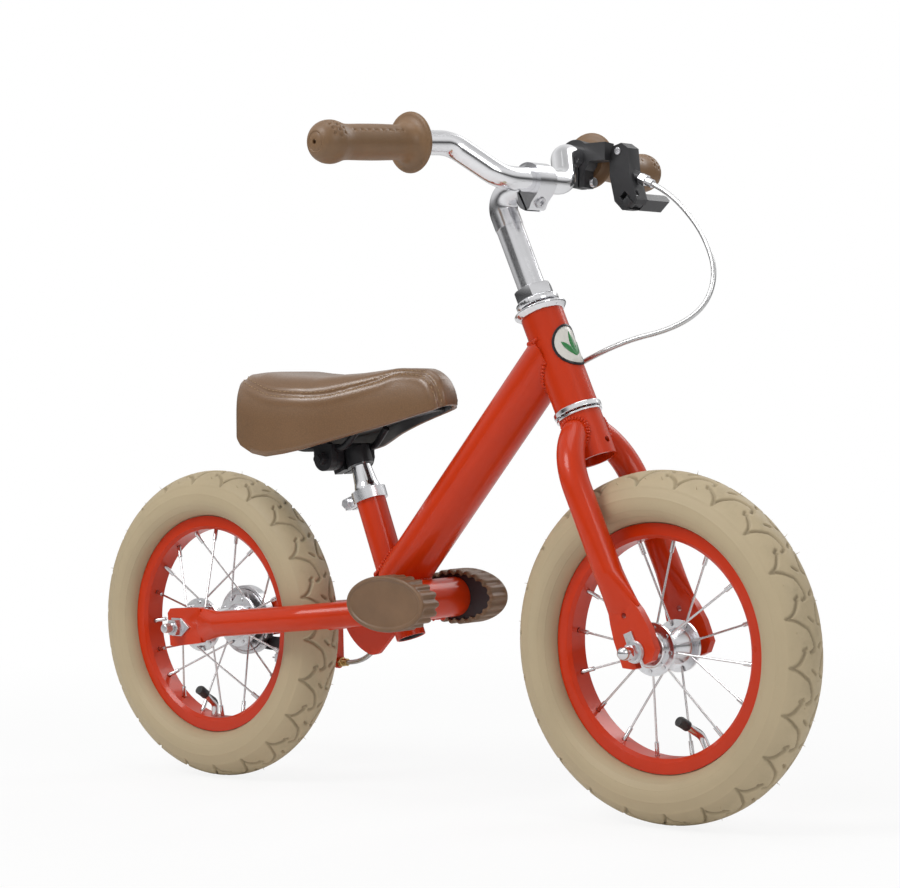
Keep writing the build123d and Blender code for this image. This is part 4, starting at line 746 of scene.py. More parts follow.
# ------------------------------------------------------------------ tyres
@dataclass
class Tyre:
    """A cream casing with a wave-cut tread, a moulded side ring and the hairs left by its mould."""

    name: str
    axle_x: float
    finish: TyreRubber
    centre_r: float = 127.0
    section_r: float = 29.0
    blocks: int = 22
    columns: int = 43
    start: float = 29.0
    groove_half: float = 0.75
    groove_soft: float = 0.9
    groove_depth: float = 2.1
    tread_r: float = 148.0
    tread_edge: float = 58.0
    bead_edge: float = 95.0
    side_step: float = 0.55
    side_ring: float = 0.35
    side_ring_at: float = 78.0
    crown_angles: range = range(-62, 63, 2)
    side_angles: tuple[int, ...] = (66, 70, 74, 77, 78, 79, 82, 86, 90)
    bead: Outline = ((122.6, 27.9), (118.6, 25.8), (115.5, 23.5), (112.8, 19.6), (111.2, 15.4), (110.6, 10.7),
                     (102.6, 10.5), (102.6, 7.6))
    hair_count: int = 46
    hair_rows: tuple[int, ...] = (-44, -22, 0, 22, 44)
    hair_drift: float = 2.5
    hair_spread: float = 3.0
    hair_lengths: tuple[float, float] = (2.0, 4.6)
    hair_lean: float = 0.35
    hair_root: float = 0.4
    hair_tip_r: float = 0.07
    hair_taper: float = 0.3
    ground_gap: float = 9.0
    cuts: tuple = (
        ((0.0, 54), (0.035, 44), (0.092, 35), (0.229, 19), (0.33, 13.5), (0.443, 10), (0.56, 7.4), (0.611, 7),
         (0.66, 10), (0.688, 17)),
        ((0.688, 28), (0.74, 30.5), (0.81, 34), (0.88, 37.5), (0.932, 42), (0.97, 47), (1.0, 54)),
        ((0.03, 12.5), (0.11, 4)), ((0.60, 25), (0.65, 31)))

    def outline(self) -> list[tuple[float, float]]:
        """The outer section as (radius from the axle, side) points, closed across the beads."""
        angles = [-a for a in reversed(self.side_angles)] + list(self.crown_angles) + list(self.side_angles)
        top = [(self.centre_r + self.section_r * math.cos(math.radians(a)),
                self.section_r * math.sin(math.radians(a))) for a in angles]
        return [(r, -y) for r, y in reversed(self.bead)] + top + list(self.bead)

    def depth(self, block: Any, angle: Any) -> Any:
        """How deep the tread is cut.

        Args:
            block: Where each point is in its block, from 0 to 1.
            angle: How far round the section from the crown, in degrees.

        Returns:
            The depth at each point, from 0 to 1.
        """
        across = np.radians(angle) * self.section_r
        pitch = math.tau / self.blocks * self.tread_r
        nearest = np.full(block.shape, self.tread_r)
        for cut in self.cuts:
            for (u0, a0), (u1, a1) in zip(cut, cut[1:]):
                for turn in (-1, 0, 1):
                    x0, x1 = (u0 + turn) * pitch, (u1 + turn) * pitch
                    y0, y1 = (math.radians(a) * self.section_r for a in (a0, a1))
                    run = np.array((x1 - x0, y1 - y0))
                    t = np.clip(((block * pitch - x0) * run[0] + (across - y0) * run[1]) / run.dot(run), 0, 1)
                    gap = np.hypot(block * pitch - x0 - t * run[0], across - y0 - t * run[1])
                    nearest = np.minimum(nearest, gap)
        fall = np.clip((self.groove_half + self.groove_soft - nearest) / self.groove_soft, 0, 1)
        return fall * fall * (3 - 2 * fall)

    def build(self, body: str) -> Any:
        """Spin the casing, cut its tread and dress it, with how deep it is cut as an attribute that masks the
        painted shade in the cuts.
        """
        shape = Shape(f"{self.name}_tyre_tread")
        where = place(Vector((self.axle_x, 0, AXLE_Z)), LEFT, UP)
        shape.lathe(self.outline(), where, self.blocks * self.columns, closed=True)
        bmesh.ops.remove_doubles(shape.bm, verts=shape.bm.verts, dist=0.004)
        layer = shape.bm.verts.layers.float.new("groove")
        verts = list(shape.bm.verts)
        spots = np.array([v.co for v in verts])
        x, y, z = spots[:, 0] - self.axle_x, spots[:, 1], spots[:, 2] - AXLE_Z
        reach = np.hypot(x, z)
        turn = np.degrees(np.arctan2(z, x))
        section = np.degrees(np.arctan2(np.abs(y), reach - self.centre_r))
        block = ((self.start - turn) * self.blocks / 360 + np.where(y > 0, 0.5, 0.0)) % 1.0
        cut = self.depth(block, section)
        edge = np.clip((section - self.tread_edge) / 3, 0, 1)
        step = self.side_step * edge * edge * (3 - 2 * edge)
        side = step - self.side_ring * np.exp(-((section - self.side_ring_at) / 1.2) ** 2)
        sink = np.where(section > self.bead_edge, 0.0, cut * self.groove_depth + side)
        out_r = np.cos(np.radians(section))
        out_y = np.sin(np.radians(section)) * np.sign(y)
        reach_new = reach - sink * out_r
        for index, vert in enumerate(verts):
            scale = reach_new[index] / reach[index]
            vert.co = (self.axle_x + x[index] * scale, y[index] - sink[index] * out_y[index],
                       AXLE_Z + z[index] * scale)
            vert[layer] = float(cut[index])
        return shape.done(self.finish, body, [f"{self.name}_tyre"], crease=80, weld=0.0001)

    def hairs(self, body: str) -> Any:
        """Stand thin moulding hairs on the tread, except where it is near the ground."""
        shape = Shape(f"{self.name}_tyre_hairs")
        draw = random.Random(int(self.axle_x))
        for number in range(self.hair_count):
            drift = draw.uniform(-self.hair_drift, self.hair_drift)
            turn = math.radians(number * 360 / self.hair_count + drift)
            row = draw.choice(self.hair_rows)
            section = math.radians(row + draw.uniform(-self.hair_spread, self.hair_spread))
            length = draw.uniform(*self.hair_lengths)
            lean = Vector([draw.uniform(-self.hair_lean, self.hair_lean) for _ in range(3)])
            outward = Vector((math.cos(turn) * math.cos(section), math.sin(section),
                              math.sin(turn) * math.cos(section)))
            foot = Vector((self.axle_x + self.centre_r * math.cos(turn), 0,
                           AXLE_Z + self.centre_r * math.sin(turn)))
            foot += outward * (self.section_r - self.hair_root)
            if foot.z < self.ground_gap:
                continue
            points = [foot + outward * length * k / 3 + lean * length * (k / 3) ** 2 * 0.5 for k in range(4)]
            shape.sweep(points, lambda share, a: self.hair_taper * (1 - share) + self.hair_tip_r, 5)
        return shape.done(self.finish, body)


# ------------------------------------------------------------------ saddle
@dataclass
class Saddle:
    """A long firm saddle with a deep skirt, a sewn top panel and double stitching."""

    outline: Outline = ((-195, 0), (-194.6, -24), (-193, -48), (-188, -59), (-178, -64.5), (-160, -67.5),
                        (-142, -68), (-121, -65.5), (-100, -60), (-80, -51), (-60, -41), (-40, -33.2),
                        (-20, -27), (-3, -23.6), (14, -21), (24, -18.8), (31, -15.6), (37, -10.5), (39.4, -5),
                        (40, 0))
    crown: Outline = ((-195, 410), (-160, 410), (-142, 408), (-100, 404.5), (-60, 406), (-20, 409.6),
                      (14, 408), (31, 403), (40, 398))
    hem: Outline = ((-192, 356), (-187, 347), (-177, 338.5), (-160, 331.5), (-142, 328.5), (-121, 331),
                    (-100, 335), (-60, 346.5), (-20, 357), (14, 366), (31, 370), (40, 374))
    square: Outline = ((-190, 5.2), (-150, 4.6), (-60, 3.8), (-20, 3.0), (14, 2.5), (40, 2.3))
    columns: int = 420
    rows: int = 56
    seam_count: int = 190
    rear_spine: float = -150.0
    front_spine: float = 17.0
    seam: tuple = ((-189, -30, 398), (-181, -50, 401), (-172.4, -59, 401.5), (-158, -62, 396),
                   (-140.9, -64, 390.3), (-125, -62, 387.6), (-109.8, -58.5, 386.4), (-92, -54, 386),
                   (-74.6, -46, 387.6), (-50, -35, 394.5), (-32, -27.5, 400), (-15, -18, 406.6),
                   (0, -15, 406.8), (12.3, -14, 404.8), (20, -13, 400.5), (26.5, -12.5, 394.1),
                   (31, -11.8, 384), (34.1, -11, 372.2))
    flare: float = 0.018
    fill: float = 0.9
    seam_depth: float = 1.3
    seam_half: float = 1.5
    swell: float = 0.7
    swell_at: float = 6.5
    swell_half: float = 3.6
    folds: Outline = ((1.6, -1.0), (1.6, -0.3), (1.6, 1.2), (0.8, 15.0))
    lining: Outline = ((0.3, 15.6), (0.9, 15.8), (1.6, 15.0), (2.4, 0.8))
    stitch_half: tuple[float, float, float] = (1.75, 0.42, 0.42)
    stitch_pitch: float = 4.8
    stitch_offset: float = 2.7
    right: list[tuple[Vector, Vector]] = field(default_factory=list, init=False)
    inner: list[Vector] = field(default_factory=list, init=False)

    def rim_spot(self, share: float) -> Vector:
        """A point of the plan outline, going once round."""
        turn = share * 2
        if turn <= 1:
            return eased(self.outline, turn)
        spot = eased(self.outline, 2 - turn)
        return Vector((spot.x, -spot.y))

    def spine(self, point: Vector, height: float = 0.0) -> Vector:
        """The point of the middle line nearest to a point, in plan, at a height."""
        return Vector((min(max(point.x, self.rear_spine), self.front_spine), 0, height))

    def spot(self, around: float, up: float) -> Vector:
        """A point of the skirt and top.

        Args:
            around: The share of the way round the outline.
            up: 0 at the hem and 1 on the middle line of the top.

        Returns:
            The point in millimetres.
        """
        rim = self.rim_spot(around)
        spine = self.spine(rim).to_2d()
        power = level(self.square, rim.x)
        angle = math.pi / 2 * (3 * up * up - 2 * up ** 3)
        out = max(math.cos(angle), 0.0) ** (2 / power)
        height = max(math.sin(angle), 0.0) ** (2 / power)
        plan = spine + (rim - spine) * out
        low = level(self.hem, rim.x)
        flare = 1 + self.flare * (1 - height)
        return Vector((plan.x, plan.y * flare, low + (level(self.crown, plan.x) - low) * height))

    def seam_line(self, mesh: BVHTree) -> list[tuple[Vector, Vector]]:
        """Points of the right seam on the surface, with the surface's normal at each."""
        line = []
        for index in range(self.seam_count + 1):
            point, normal, _, _ = mesh.find_nearest(eased(self.seam, index / self.seam_count))
            line.append((point, normal if normal.z > -0.3 else -normal))
        return line

    def build(self) -> Any:
        """Lay the cover, press its seams in, close its underside and dress it."""
        shape = Shape("saddle_leather")
        bm = shape.bm
        verts = shape.grid(self.columns, self.rows, self.spot)
        bmesh.ops.remove_doubles(bm, verts=verts, dist=0.01)
        bmesh.ops.recalc_face_normals(bm, faces=bm.faces)
        self.right = self.seam_line(BVHTree.FromBMesh(bm))
        tree = KDTree(2 * len(self.right))
        for index, (point, _) in enumerate(self.right):
            tree.insert(point, index)
            tree.insert(Vector((point.x, -point.y, point.z)), index)
        tree.balance()
        bm.normal_update()
        moves = []
        for vert in bm.verts:
            _, _, gap = tree.find(vert.co)
            sink = self.seam_depth * math.exp(-(gap / self.seam_half) ** 2)
            sink -= self.swell * math.exp(-((gap - self.swell_at) / self.swell_half) ** 2)
            moves.append(vert.normal * -sink)
        for vert, move in zip(bm.verts, moves):
            vert.co += move
        self.close_underside(bm)
        piece = shape.done(SADDLE_BROWN, "saddle", ["saddle_cover"], crease=60, weld=0.002)
        return piece

    def close_underside(self, bm: Any) -> None:
        """Fold the hem in under the skirt and close the cover against the base."""
        hem = [edge for edge in bm.edges if edge.is_boundary]
        for step, rise in self.folds:
            made = bmesh.ops.extrude_edge_only(bm, edges=hem)["geom"]
            fresh = [item for item in made if isinstance(item, bmesh.types.BMVert)]
            hem = [item for item in made if isinstance(item, bmesh.types.BMEdge)]
            for vert in fresh:
                inward = (self.spine(vert.co, vert.co.z) - vert.co).normalized()
                vert.co += inward * step + UP * rise
        self.inner = [vert.co.copy() for vert in self.walk(hem)]
        bmesh.ops.edgeloop_fill(bm, edges=hem)

    @staticmethod
    def walk(edges: Sequence[Any]) -> list[Any]:
        """The vertices of a closed loop of edges, in order round it."""
        inside = set(edges)
        first = edges[0]
        vert = first.verts[0]
        order = []
        edge = first
        while edge is not None:
            order.append(vert)
            inside.discard(edge)
            vert = edge.other_vert(vert)
            edge = next((other for other in vert.link_edges if other in inside), None)
        return order

    def pan(self) -> Any:
        """Line the cover's underside with a black shell, closed at its top."""
        shape = Shape("saddle_pan")
        rings = []
        for inset, drop in self.lining:
            rings.append([point + (self.spine(point, point.z) - point).normalized() * inset - UP * drop
                          for point in self.inner])
        shape.loft(rings, filled=(-1,))
        return shape.done(BLACK_PLASTIC, "saddle", crease=40)

    def stitches(self) -> Any:
        """Sew short raised stitches along both sides of both seams."""
        shape = Shape("saddle_stitches")
        mirrored = Matrix.Diagonal((1, -1, 1, 1))
        line = self.right
        lengths = [0.0]
        for (first, _), (second, _) in zip(line, line[1:]):
            lengths.append(lengths[-1] + (second - first).length)
        for side in (-1, 1):
            distance = 3.0
            while distance < lengths[-1] - 3:
                index = max(1, min(len(line) - 2, next(k for k, d in enumerate(lengths) if d >= distance)))
                point, normal = line[index]
                ahead = (line[index + 1][0] - line[index - 1][0]).normalized()
                out = ahead.cross(normal).normalized()
                axes = [axis * half for axis, half in zip((ahead, out, normal), self.stitch_half)]
                basis = Matrix(axes).transposed().to_4x4()
                basis.translation = point + out * self.stitch_offset * side + normal * 0.2
                shape.bead(basis)
                shape.bead(mirrored @ basis)
                distance += self.stitch_pitch
        return shape.done(THREAD, "saddle", crease=80, weld=0.0001)


# ------------------------------------------------------------------ footrests
@dataclass
class Footrest:
    """An oval cap with a raised rim round its face and fluted sides round a black core."""

    name: str
    side: Side
    centre: Vector = field(default_factory=lambda: Vector((4, 0, 189)))
    half_length: float = 48.0
    half_height: float = 26.5
    section: tuple = ((22, 59.5, 0), (5.2, 59.5, 0), (5.0, 45.0, 0), (4.0, 39.4, 0.5), (3.4, 38.4, 1.0),
                      (1.0, 38.2, 1.0), (0.35, 38.8, 1.0), (0, 40, 1), (0, 44, 1), (0, 48, 1), (0, 52, 1),
                      (0, 56, 0.95), (0, 58.5, 0.7), (0, 60, 0.3), (0.1, 61, 0.0), (0.5, 62.1, 0),
                      (1.2, 62.75, 0), (2.2, 63.0, 0), (3.4, 62.9, 0), (4.3, 62.5, 0), (4.8, 61.9, 0),
                      (5.5, 61.75, 0), (12, 61.9, 0), (20, 62.05, 0))
    flutes: int = 22
    flute_steps: int = 14
    flute_depth: float = 2.4
    flute_sharpness: float = 1.6
    scallop: float = 1.8
    scallop_edge: tuple[float, float] = (3.0, 41.0)
    ribs: int = 28
    rib_steps: int = 6
    rib_height: float = 1.2
    steps: int = 720
    marks: list[float] = field(default_factory=list, init=False)
    core_rows: Outline = ((8.0, 43.0), (5.2, 41.5), (4.9, 45.5))

    def __post_init__(self) -> None:
        """Measure how far round the oval its points are."""
        spots = [self.oval(k * math.tau / self.steps, 0, 0) for k in range(self.steps + 1)]
        total = [0.0]
        for first, second in zip(spots, spots[1:]):
            total.append(total[-1] + (second - first).length)
        self.marks = [value / total[-1] for value in total]

    def oval(self, angle: float, inset: float, y: float) -> Vector:
        """A point of the oval, inset from its edge, at a distance to the side."""
        return self.centre + self.side.point((self.half_length - inset) * math.cos(angle), y,
                                             (self.half_height - inset) * math.sin(angle))

    def even(self, count: int) -> list[float]:
        """The angles of points that are evenly spaced along the oval."""
        return [int(np.searchsorted(self.marks, k / count)) * math.tau / self.steps for k in range(count)]

    def build(self) -> Any:
        """Loft the cap from its inner edge round its fluted side to the recessed face.

        Each row of the section is (inset, distance to the side, share of fluting).
        """
        shape = Shape(f"{self.name}_cap")
        angles = self.even(self.flutes * self.flute_steps)
        waves = [(0.5 - 0.5 * math.cos(k * math.tau / self.flute_steps)) ** self.flute_sharpness
                 for k in range(len(angles))]
        rings = []
        for inset, y, share in self.section:
            at_edge = inset < self.scallop_edge[0] and y < self.scallop_edge[1]
            scallop = self.scallop * share if at_edge else 0.0
            rings.append([self.oval(angle, inset + self.flute_depth * wave * share, y + scallop * wave)
                          for angle, wave in zip(angles, waves)])
        shape.loft(rings)
        return shape.done(FOOTREST_BROWN, "frame", [self.name], crease=50)

    def core(self) -> Any:
        """The black core with radial ribs, seen inside the cap."""
        shape = Shape(f"{self.name}_core")
        angles = self.even(self.ribs * self.rib_steps)
        ribs = [self.rib_height if k % self.rib_steps < 2 else 0.0 for k in range(len(angles))]
        shape.loft([[self.oval(angle, inset, y - rib) for angle, rib in zip(angles, ribs)]
                    for inset, y in self.core_rows], filled=())
        return shape.done(BLACK_PLASTIC, "frame", crease=40)


# ------------------------------------------------------------------ grips
@dataclass
class Grip:
    """A soft brown grip: trumpet flange, barrelled sleeve and ball end, with rows of dimples."""

    name: str
    side: Side
    reach: float
    segments: int = 144
    fineness: int = 230
    dimple_r: float = 2.3
    dimple_depth: float = 1.3
    end: tuple[float, float] = (115.6, 606.8)
    lean: tuple[float, float] = (-0.085, -0.055)
    sleeve_rows: tuple[float, ...] = tuple(68 + 8.2 * k for k in range(8))
    sleeve_angles: tuple[float, float] = (38.0, -118.0)
    ball_rows: tuple[float, ...] = tuple(141 + 5.4 * k for k in range(3))
    ball_patches: tuple = ((20, 17, 4), (-100, -17, 3))
    profile: Outline = ((11.2, 43.8), (17.2, 43.9), (18.6, 44.6), (21, 46), (24.5, 46.9), (26.2, 47.6),
                        (27, 48.8), (26.7, 50.2), (25.2, 51.2), (22.6, 52), (20.2, 53.2), (18.2, 55),
                        (16.7, 57.8), (15.7, 61.5), (15.4, 66), (15.6, 74), (15.8, 84), (15.9, 95),
                        (15.8, 108), (15.6, 118), (15.5, 124), (15.7, 129), (16.5, 133.5), (17.7, 137.6),
                        (18.6, 141), (18.9, 144.5), (18.6, 148.5), (17.7, 152), (16.2, 155.2), (14, 158),
                        (11.6, 159.9), (9.6, 160.9), (8.9, 160.9), (8.2, 160.5), (7.4, 160.9), (5.6, 161.5),
                        (3.4, 161.9), (2.4, 161.8), (2.0, 161.2), (2.0, 150))
    sleeve: tuple[int, int] = (8, 31)

    def frame(self) -> Matrix:
        """The grip's own frame, with Z outward and X forward."""
        foot = self.side.point(self.end[0], self.reach, self.end[1])
        return place(foot, self.side.point(self.lean[0], 1, self.lean[1]).normalized(), Vector((1, 0, 0)))

    def dimples(self) -> list[tuple[float, float]]:
        """Where the dimples are, as (distance along, degrees round from the front)."""
        spots = [(along, angle) for angle in self.sleeve_angles for along in self.sleeve_rows]
        for start, turn, columns in self.ball_patches:
            spots += [(along, start + turn * (column - 0.5 * (row % 2)))
                      for row, along in enumerate(self.ball_rows) for column in range(columns)]
        return spots

    def build(self) -> Any:
        """Spin the profile, press the dimples in and dress it."""
        shape = Shape(f"{self.name}_rubber")
        where = self.frame()
        fine = [eased(self.profile, k / self.fineness) for k in range(self.fineness + 1)]
        shape.lathe([(p.x, p.y) for p in fine], where, self.segments)
        back = where.inverted()
        first, last = self.sleeve
        radii = [(height, radius) for radius, height in self.profile[first:last]]
        dimples = self.dimples()
        tree = KDTree(len(dimples))
        for index, (along, angle) in enumerate(dimples):
            turn = math.radians(angle) * -self.side.value
            radius = level(radii, along)
            tree.insert(Vector((radius * math.cos(turn), radius * math.sin(turn), along)), index)
        tree.balance()
        for vert in shape.bm.verts:
            spot = back @ vert.co
            _, _, gap = tree.find(spot)
            if gap < self.dimple_r:
                depth = self.dimple_depth * (0.5 + 0.5 * math.cos(math.pi * gap / self.dimple_r))
                centre_line = Vector((0, 0, spot.z))
                vert.co = where @ (spot + (centre_line - spot).normalized() * depth)
        return shape.done(GRIP_BROWN, "handlebar", [self.name], crease=70)


# ------------------------------------------------------------------ welds, badge, nuts and small parts
@dataclass(frozen=True)
class Tube:
    """A round tube, as a joint sees it."""

    point: Vector
    direction: Vector
    radius: float


@dataclass
class Welds:
    """Overlapping weld ripples along the frame's and the fork's joints."""

    pitch: float = 2.4
    size: float = 2.5
    squeeze: float = 0.62
    step: float = 0.5
    steps: int = 700
    head: Tube = Tube(head_point(270), HEAD_DIR, 20.2)
    main: Tube = Tube(MAIN_FOOT, MAIN_DIR, 23.1)
    cross: Tube = Tube(Vector((4, 0, 189)), LEFT, 19.2)
    steerer: Tube = Tube(head_point(200), HEAD_DIR, 19.9)
    main_up: Tube = Tube(MAIN_FOOT, MAIN_DIR, 22.8)
    main_down: Tube = Tube(MAIN_FOOT + MAIN_DIR * 150, -MAIN_DIR, 22.8)
    seat_down: Tube = Tube(seat_point(140), -SEAT_DIR, 15.6)
    stay_from: tuple[float, float, float] = (-58, 20, 175.6)
    stay_run: tuple[float, float, float] = (60, -4, 5.4)
    stay_r: float = 12.6
    leg_from: tuple[float, float, float] = (2, 44.5, 191)
    leg_to: tuple[float, float, float] = (0, 6, 212)
    leg_r: float = 13.2

    def joint(self, ending: Tube, through: Tube) -> list[Vector]:
        """Points where one tube runs into another.

        Args:
            ending: The tube that ends there, with its direction towards the joint.
            through: The tube it runs into.

        Returns:
            Points of the joint line.
        """
        axis = ending.direction
        frame = place(ending.point, axis, UP if abs(axis.z) < 0.9 else Vector((1, 0, 0)))
        found = []
        for degrees in FULL_TURN:
            turn = math.radians(degrees)
            start = frame @ Vector((ending.radius * math.cos(turn), ending.radius * math.sin(turn), 0))
            for index in range(self.steps):
                spot = start + axis.normalized() * index * self.step
                away = spot - through.point
                if (away - through.direction * away.dot(through.direction)).length < through.radius:
                    if not found or (spot - found[-1]).length >= self.pitch:
                        found.append(spot)
                    break
        return found

    def lay(self, name: str, body: str, lines: Sequence[list[Vector]]) -> Any:
        """Lay ripples along joint lines and dress them."""
        shape = Shape(name)
        for line in lines:
            for index, spot in enumerate(line):
                run = line[min(index + 1, len(line) - 1)] - line[max(index - 1, 0)]
                ahead = run.normalized() if run.length > 0.1 else UP
                side = ahead.orthogonal().normalized()
                axes = (ahead * self.size * self.squeeze, side * self.size, ahead.cross(side) * self.size)
                basis = Matrix(axes).transposed().to_4x4()
                basis.translation = spot
                shape.bead(basis, 2)
        return shape.done(FRAME_PAINT, body, crease=50)

    def build(self) -> None:
        """Lay the ripples of every joint."""
        lines = [self.joint(self.main_up, self.head), self.joint(self.seat_down, self.main),
                 self.joint(self.main_down, self.cross)]
        legs = []
        for side in Side:
            stay = Tube(side.point(*self.stay_from), side.point(*self.stay_run).normalized(), self.stay_r)
            lines.append(self.joint(stay, self.cross))
            start, end = (head_point(distance) + HEAD_FORWARD * lead + side.point(0, y, 0)
                          for lead, y, distance in (self.leg_from, self.leg_to))
            legs.append(self.joint(Tube(start, (end - start).normalized(), self.leg_r), self.steerer))
        self.lay("frame_welds", "frame", lines)
        self.lay("fork_welds", "fork", legs)


@dataclass
class Badge:
    """A plain round badge on the head tube: black rim, pale field and a green leaf."""

    radius: float = 20.5
    height: float = 285.0
    tube_r: float = 20.0
    rim: float = 2.2
    steps: int = 72
    rounding: float = 0.25
    skirt: float = 0.9
    foot: float = -11.0
    leaf_rings: int = 9
    leaf_sides: int = 12
    leaf_half: float = 0.32
    leaf_lift: float = 0.75
    leaf_tip: float = 0.12
    leaf_fullness: float = 0.8
    leaves: tuple = ((0, 24, 3.2), (-38, 19, 2.8), (38, 19, 2.8))

    def wrap(self, x: float, y: float, lift: float) -> Vector:
        """Wrap a flat point round the front of the head tube."""
        turn = x / self.tube_r
        out = HEAD_FORWARD * math.cos(turn) + LEFT * math.sin(turn)
        return head_point(self.height + y) + out * (self.tube_r + lift)

    def disc(self, name: str, radius: float, inner: float, lift: float, finish: Finish) -> None:
        """A flat ring or disc wrapped round the tube.

        Args:
            name: The piece.
            radius: Its outer radius.
            inner: The radius of its hole, or 0 for a disc.
            lift: How far its face stands off the tube.
            finish: What its surface is.
        """
        shape = Shape(name)
        edge = [(radius - self.rounding, lift), (radius, lift - 0.2), (radius, lift - self.skirt)]
        rows = [(inner, lift - 0.5), (inner, lift)] + edge
        if inner == 0:
            rows = [(0.01, lift), (radius * 0.33, lift), (radius * 0.66, lift)] + edge
        turns = [k * math.tau / self.steps for k in range(self.steps)]
        shape.loft([[self.wrap(r * math.cos(turn), r * math.sin(turn), up) for turn in turns]
                    for r, up in rows], filled=())
        shape.done(finish, "frame", crease=40, weld=0.02)

    def leaf(self, name: str, tilt: float, length: float, width: float) -> None:
        """One leaf of the plain sprig."""
        shape = Shape(name)
        along = Vector((math.sin(math.radians(tilt)), math.cos(math.radians(tilt))))
        side = Vector((along.y, -along.x))
        turns = [k * math.tau / self.leaf_sides for k in range(self.leaf_sides)]
        rings = []
        for k in range(self.leaf_rings):
            share = k / (self.leaf_rings - 1)
            half = width * math.sin(math.pi * share) ** self.leaf_fullness + self.leaf_tip
            spot = Vector((0, self.foot)) + along * length * share
            rings.append([self.wrap(*(spot + side * half * math.cos(turn)),
                                    self.leaf_lift + self.leaf_half * math.sin(turn)) for turn in turns])
        shape.loft(rings)
        shape.done(BADGE_GREEN, "frame", crease=50)

    def build(self) -> None:
        """Build the rim, the field and the sprig."""
        self.disc("badge_rim", self.radius, self.radius - self.rim, 1.1, BLACK_METAL)
        self.disc("badge_field", self.radius - 2.1, 0, 0.7, BADGE_PALE)
        for number, leaf in enumerate(self.leaves, 1):
            self.leaf(f"badge_leaf_{number}", *leaf)


@dataclass
class Fittings:
    """Small metal and plastic pieces: valve sleeves and caps, axle domes and the seat tube's plug."""

    valve_r: float = 3.45
    valve_rib: float = 0.12
    valve_steps: int = 16
    valve_route: Outline = ((97, 0), (90, 0), (85.5, -0.6), (82, -3.2), (79.5, -6.6), (76.4, -10.4),
                            (73.4, -14.4))
    cap: Outline = ((0, -0.2), (4.4, -0.2), (4.75, 0.5), (4.75, 8.8), (4.2, 10.6), (2.6, 11.4), (0, 11.5))
    plug_outline: Outline = ((0, 6), (11.2, 6), (11.6, 1.0), (12.1, 0.5), (12.3, 0.9), (12.3, 14), (0, 14))
    dome_outline: Outline = ((0, -1), (6.2, -1), (6.4, 0.2), (6.3, 2), (6.1, 7), (5.6, 9.2), (4.4, 11),
                             (2.6, 12.1), (0, 12.5))

    def sleeve(self, name: str, body: str, route: Sequence[Vector], cap_end: Vector) -> None:
        """A ribbed metal valve stem and its black cap."""
        shape = Shape(name)
        steps = self.valve_steps
        points = [eased(route, k / steps) for k in range(steps + 1)]
        shape.sweep(points, lambda share, a: self.valve_r + self.valve_rib * (int(share * steps) % 2), 20)
        shape.done(SPOKE_STEEL, body, crease=60)
        cap = Shape(f"{name}_cap")
        cap.lathe(self.cap, place(route[-1], cap_end - route[-1], UP), 28)
        cap.done(BLACK_PLASTIC, body, crease=40)

    def plug(self) -> None:
        """A recessed plug in the seat tube's lower end."""
        shape = Shape("seat_tube_plug")
        shape.lathe(self.plug_outline, place(SEAT_FOOT, SEAT_DIR, SEAT_FORWARD), 48)
        shape.done(BLACK_PLASTIC, "frame", crease=40)

    def dome(self, name: str, y: float, outward: Vector) -> None:
        """A domed cap over one of the front axle's ends."""
        shape = Shape(name)
        shape.lathe(self.dome_outline, place(Vector((FRONT_X, y, AXLE_Z)), outward, UP), 40)
        shape.done(NUT_STEEL, "fork", crease=50)

    def valve(self, wheel: str, axle_x: float, angle: float) -> None:
        """Sheathe one wheel's valve in metal and cap it."""
        turn = math.radians(angle)
        route = [Vector((axle_x + r * math.cos(turn), y, AXLE_Z + r * math.sin(turn)))
                 for r, y in self.valve_route]
        self.sleeve(f"{wheel}_valve", f"{wheel}_wheel", route, route[-1] * 2 - route[-2])

    def build(self) -> None:
        """Build them all."""
        self.plug()
        low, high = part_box("front_axle_nuts")
        self.dome("front_right_dome", low[1] / MM, -LEFT)
        self.dome("front_left_dome", high[1] / MM, LEFT)
        self.valve("front", FRONT_X, -64)
        self.valve("rear", REAR_X, -96)


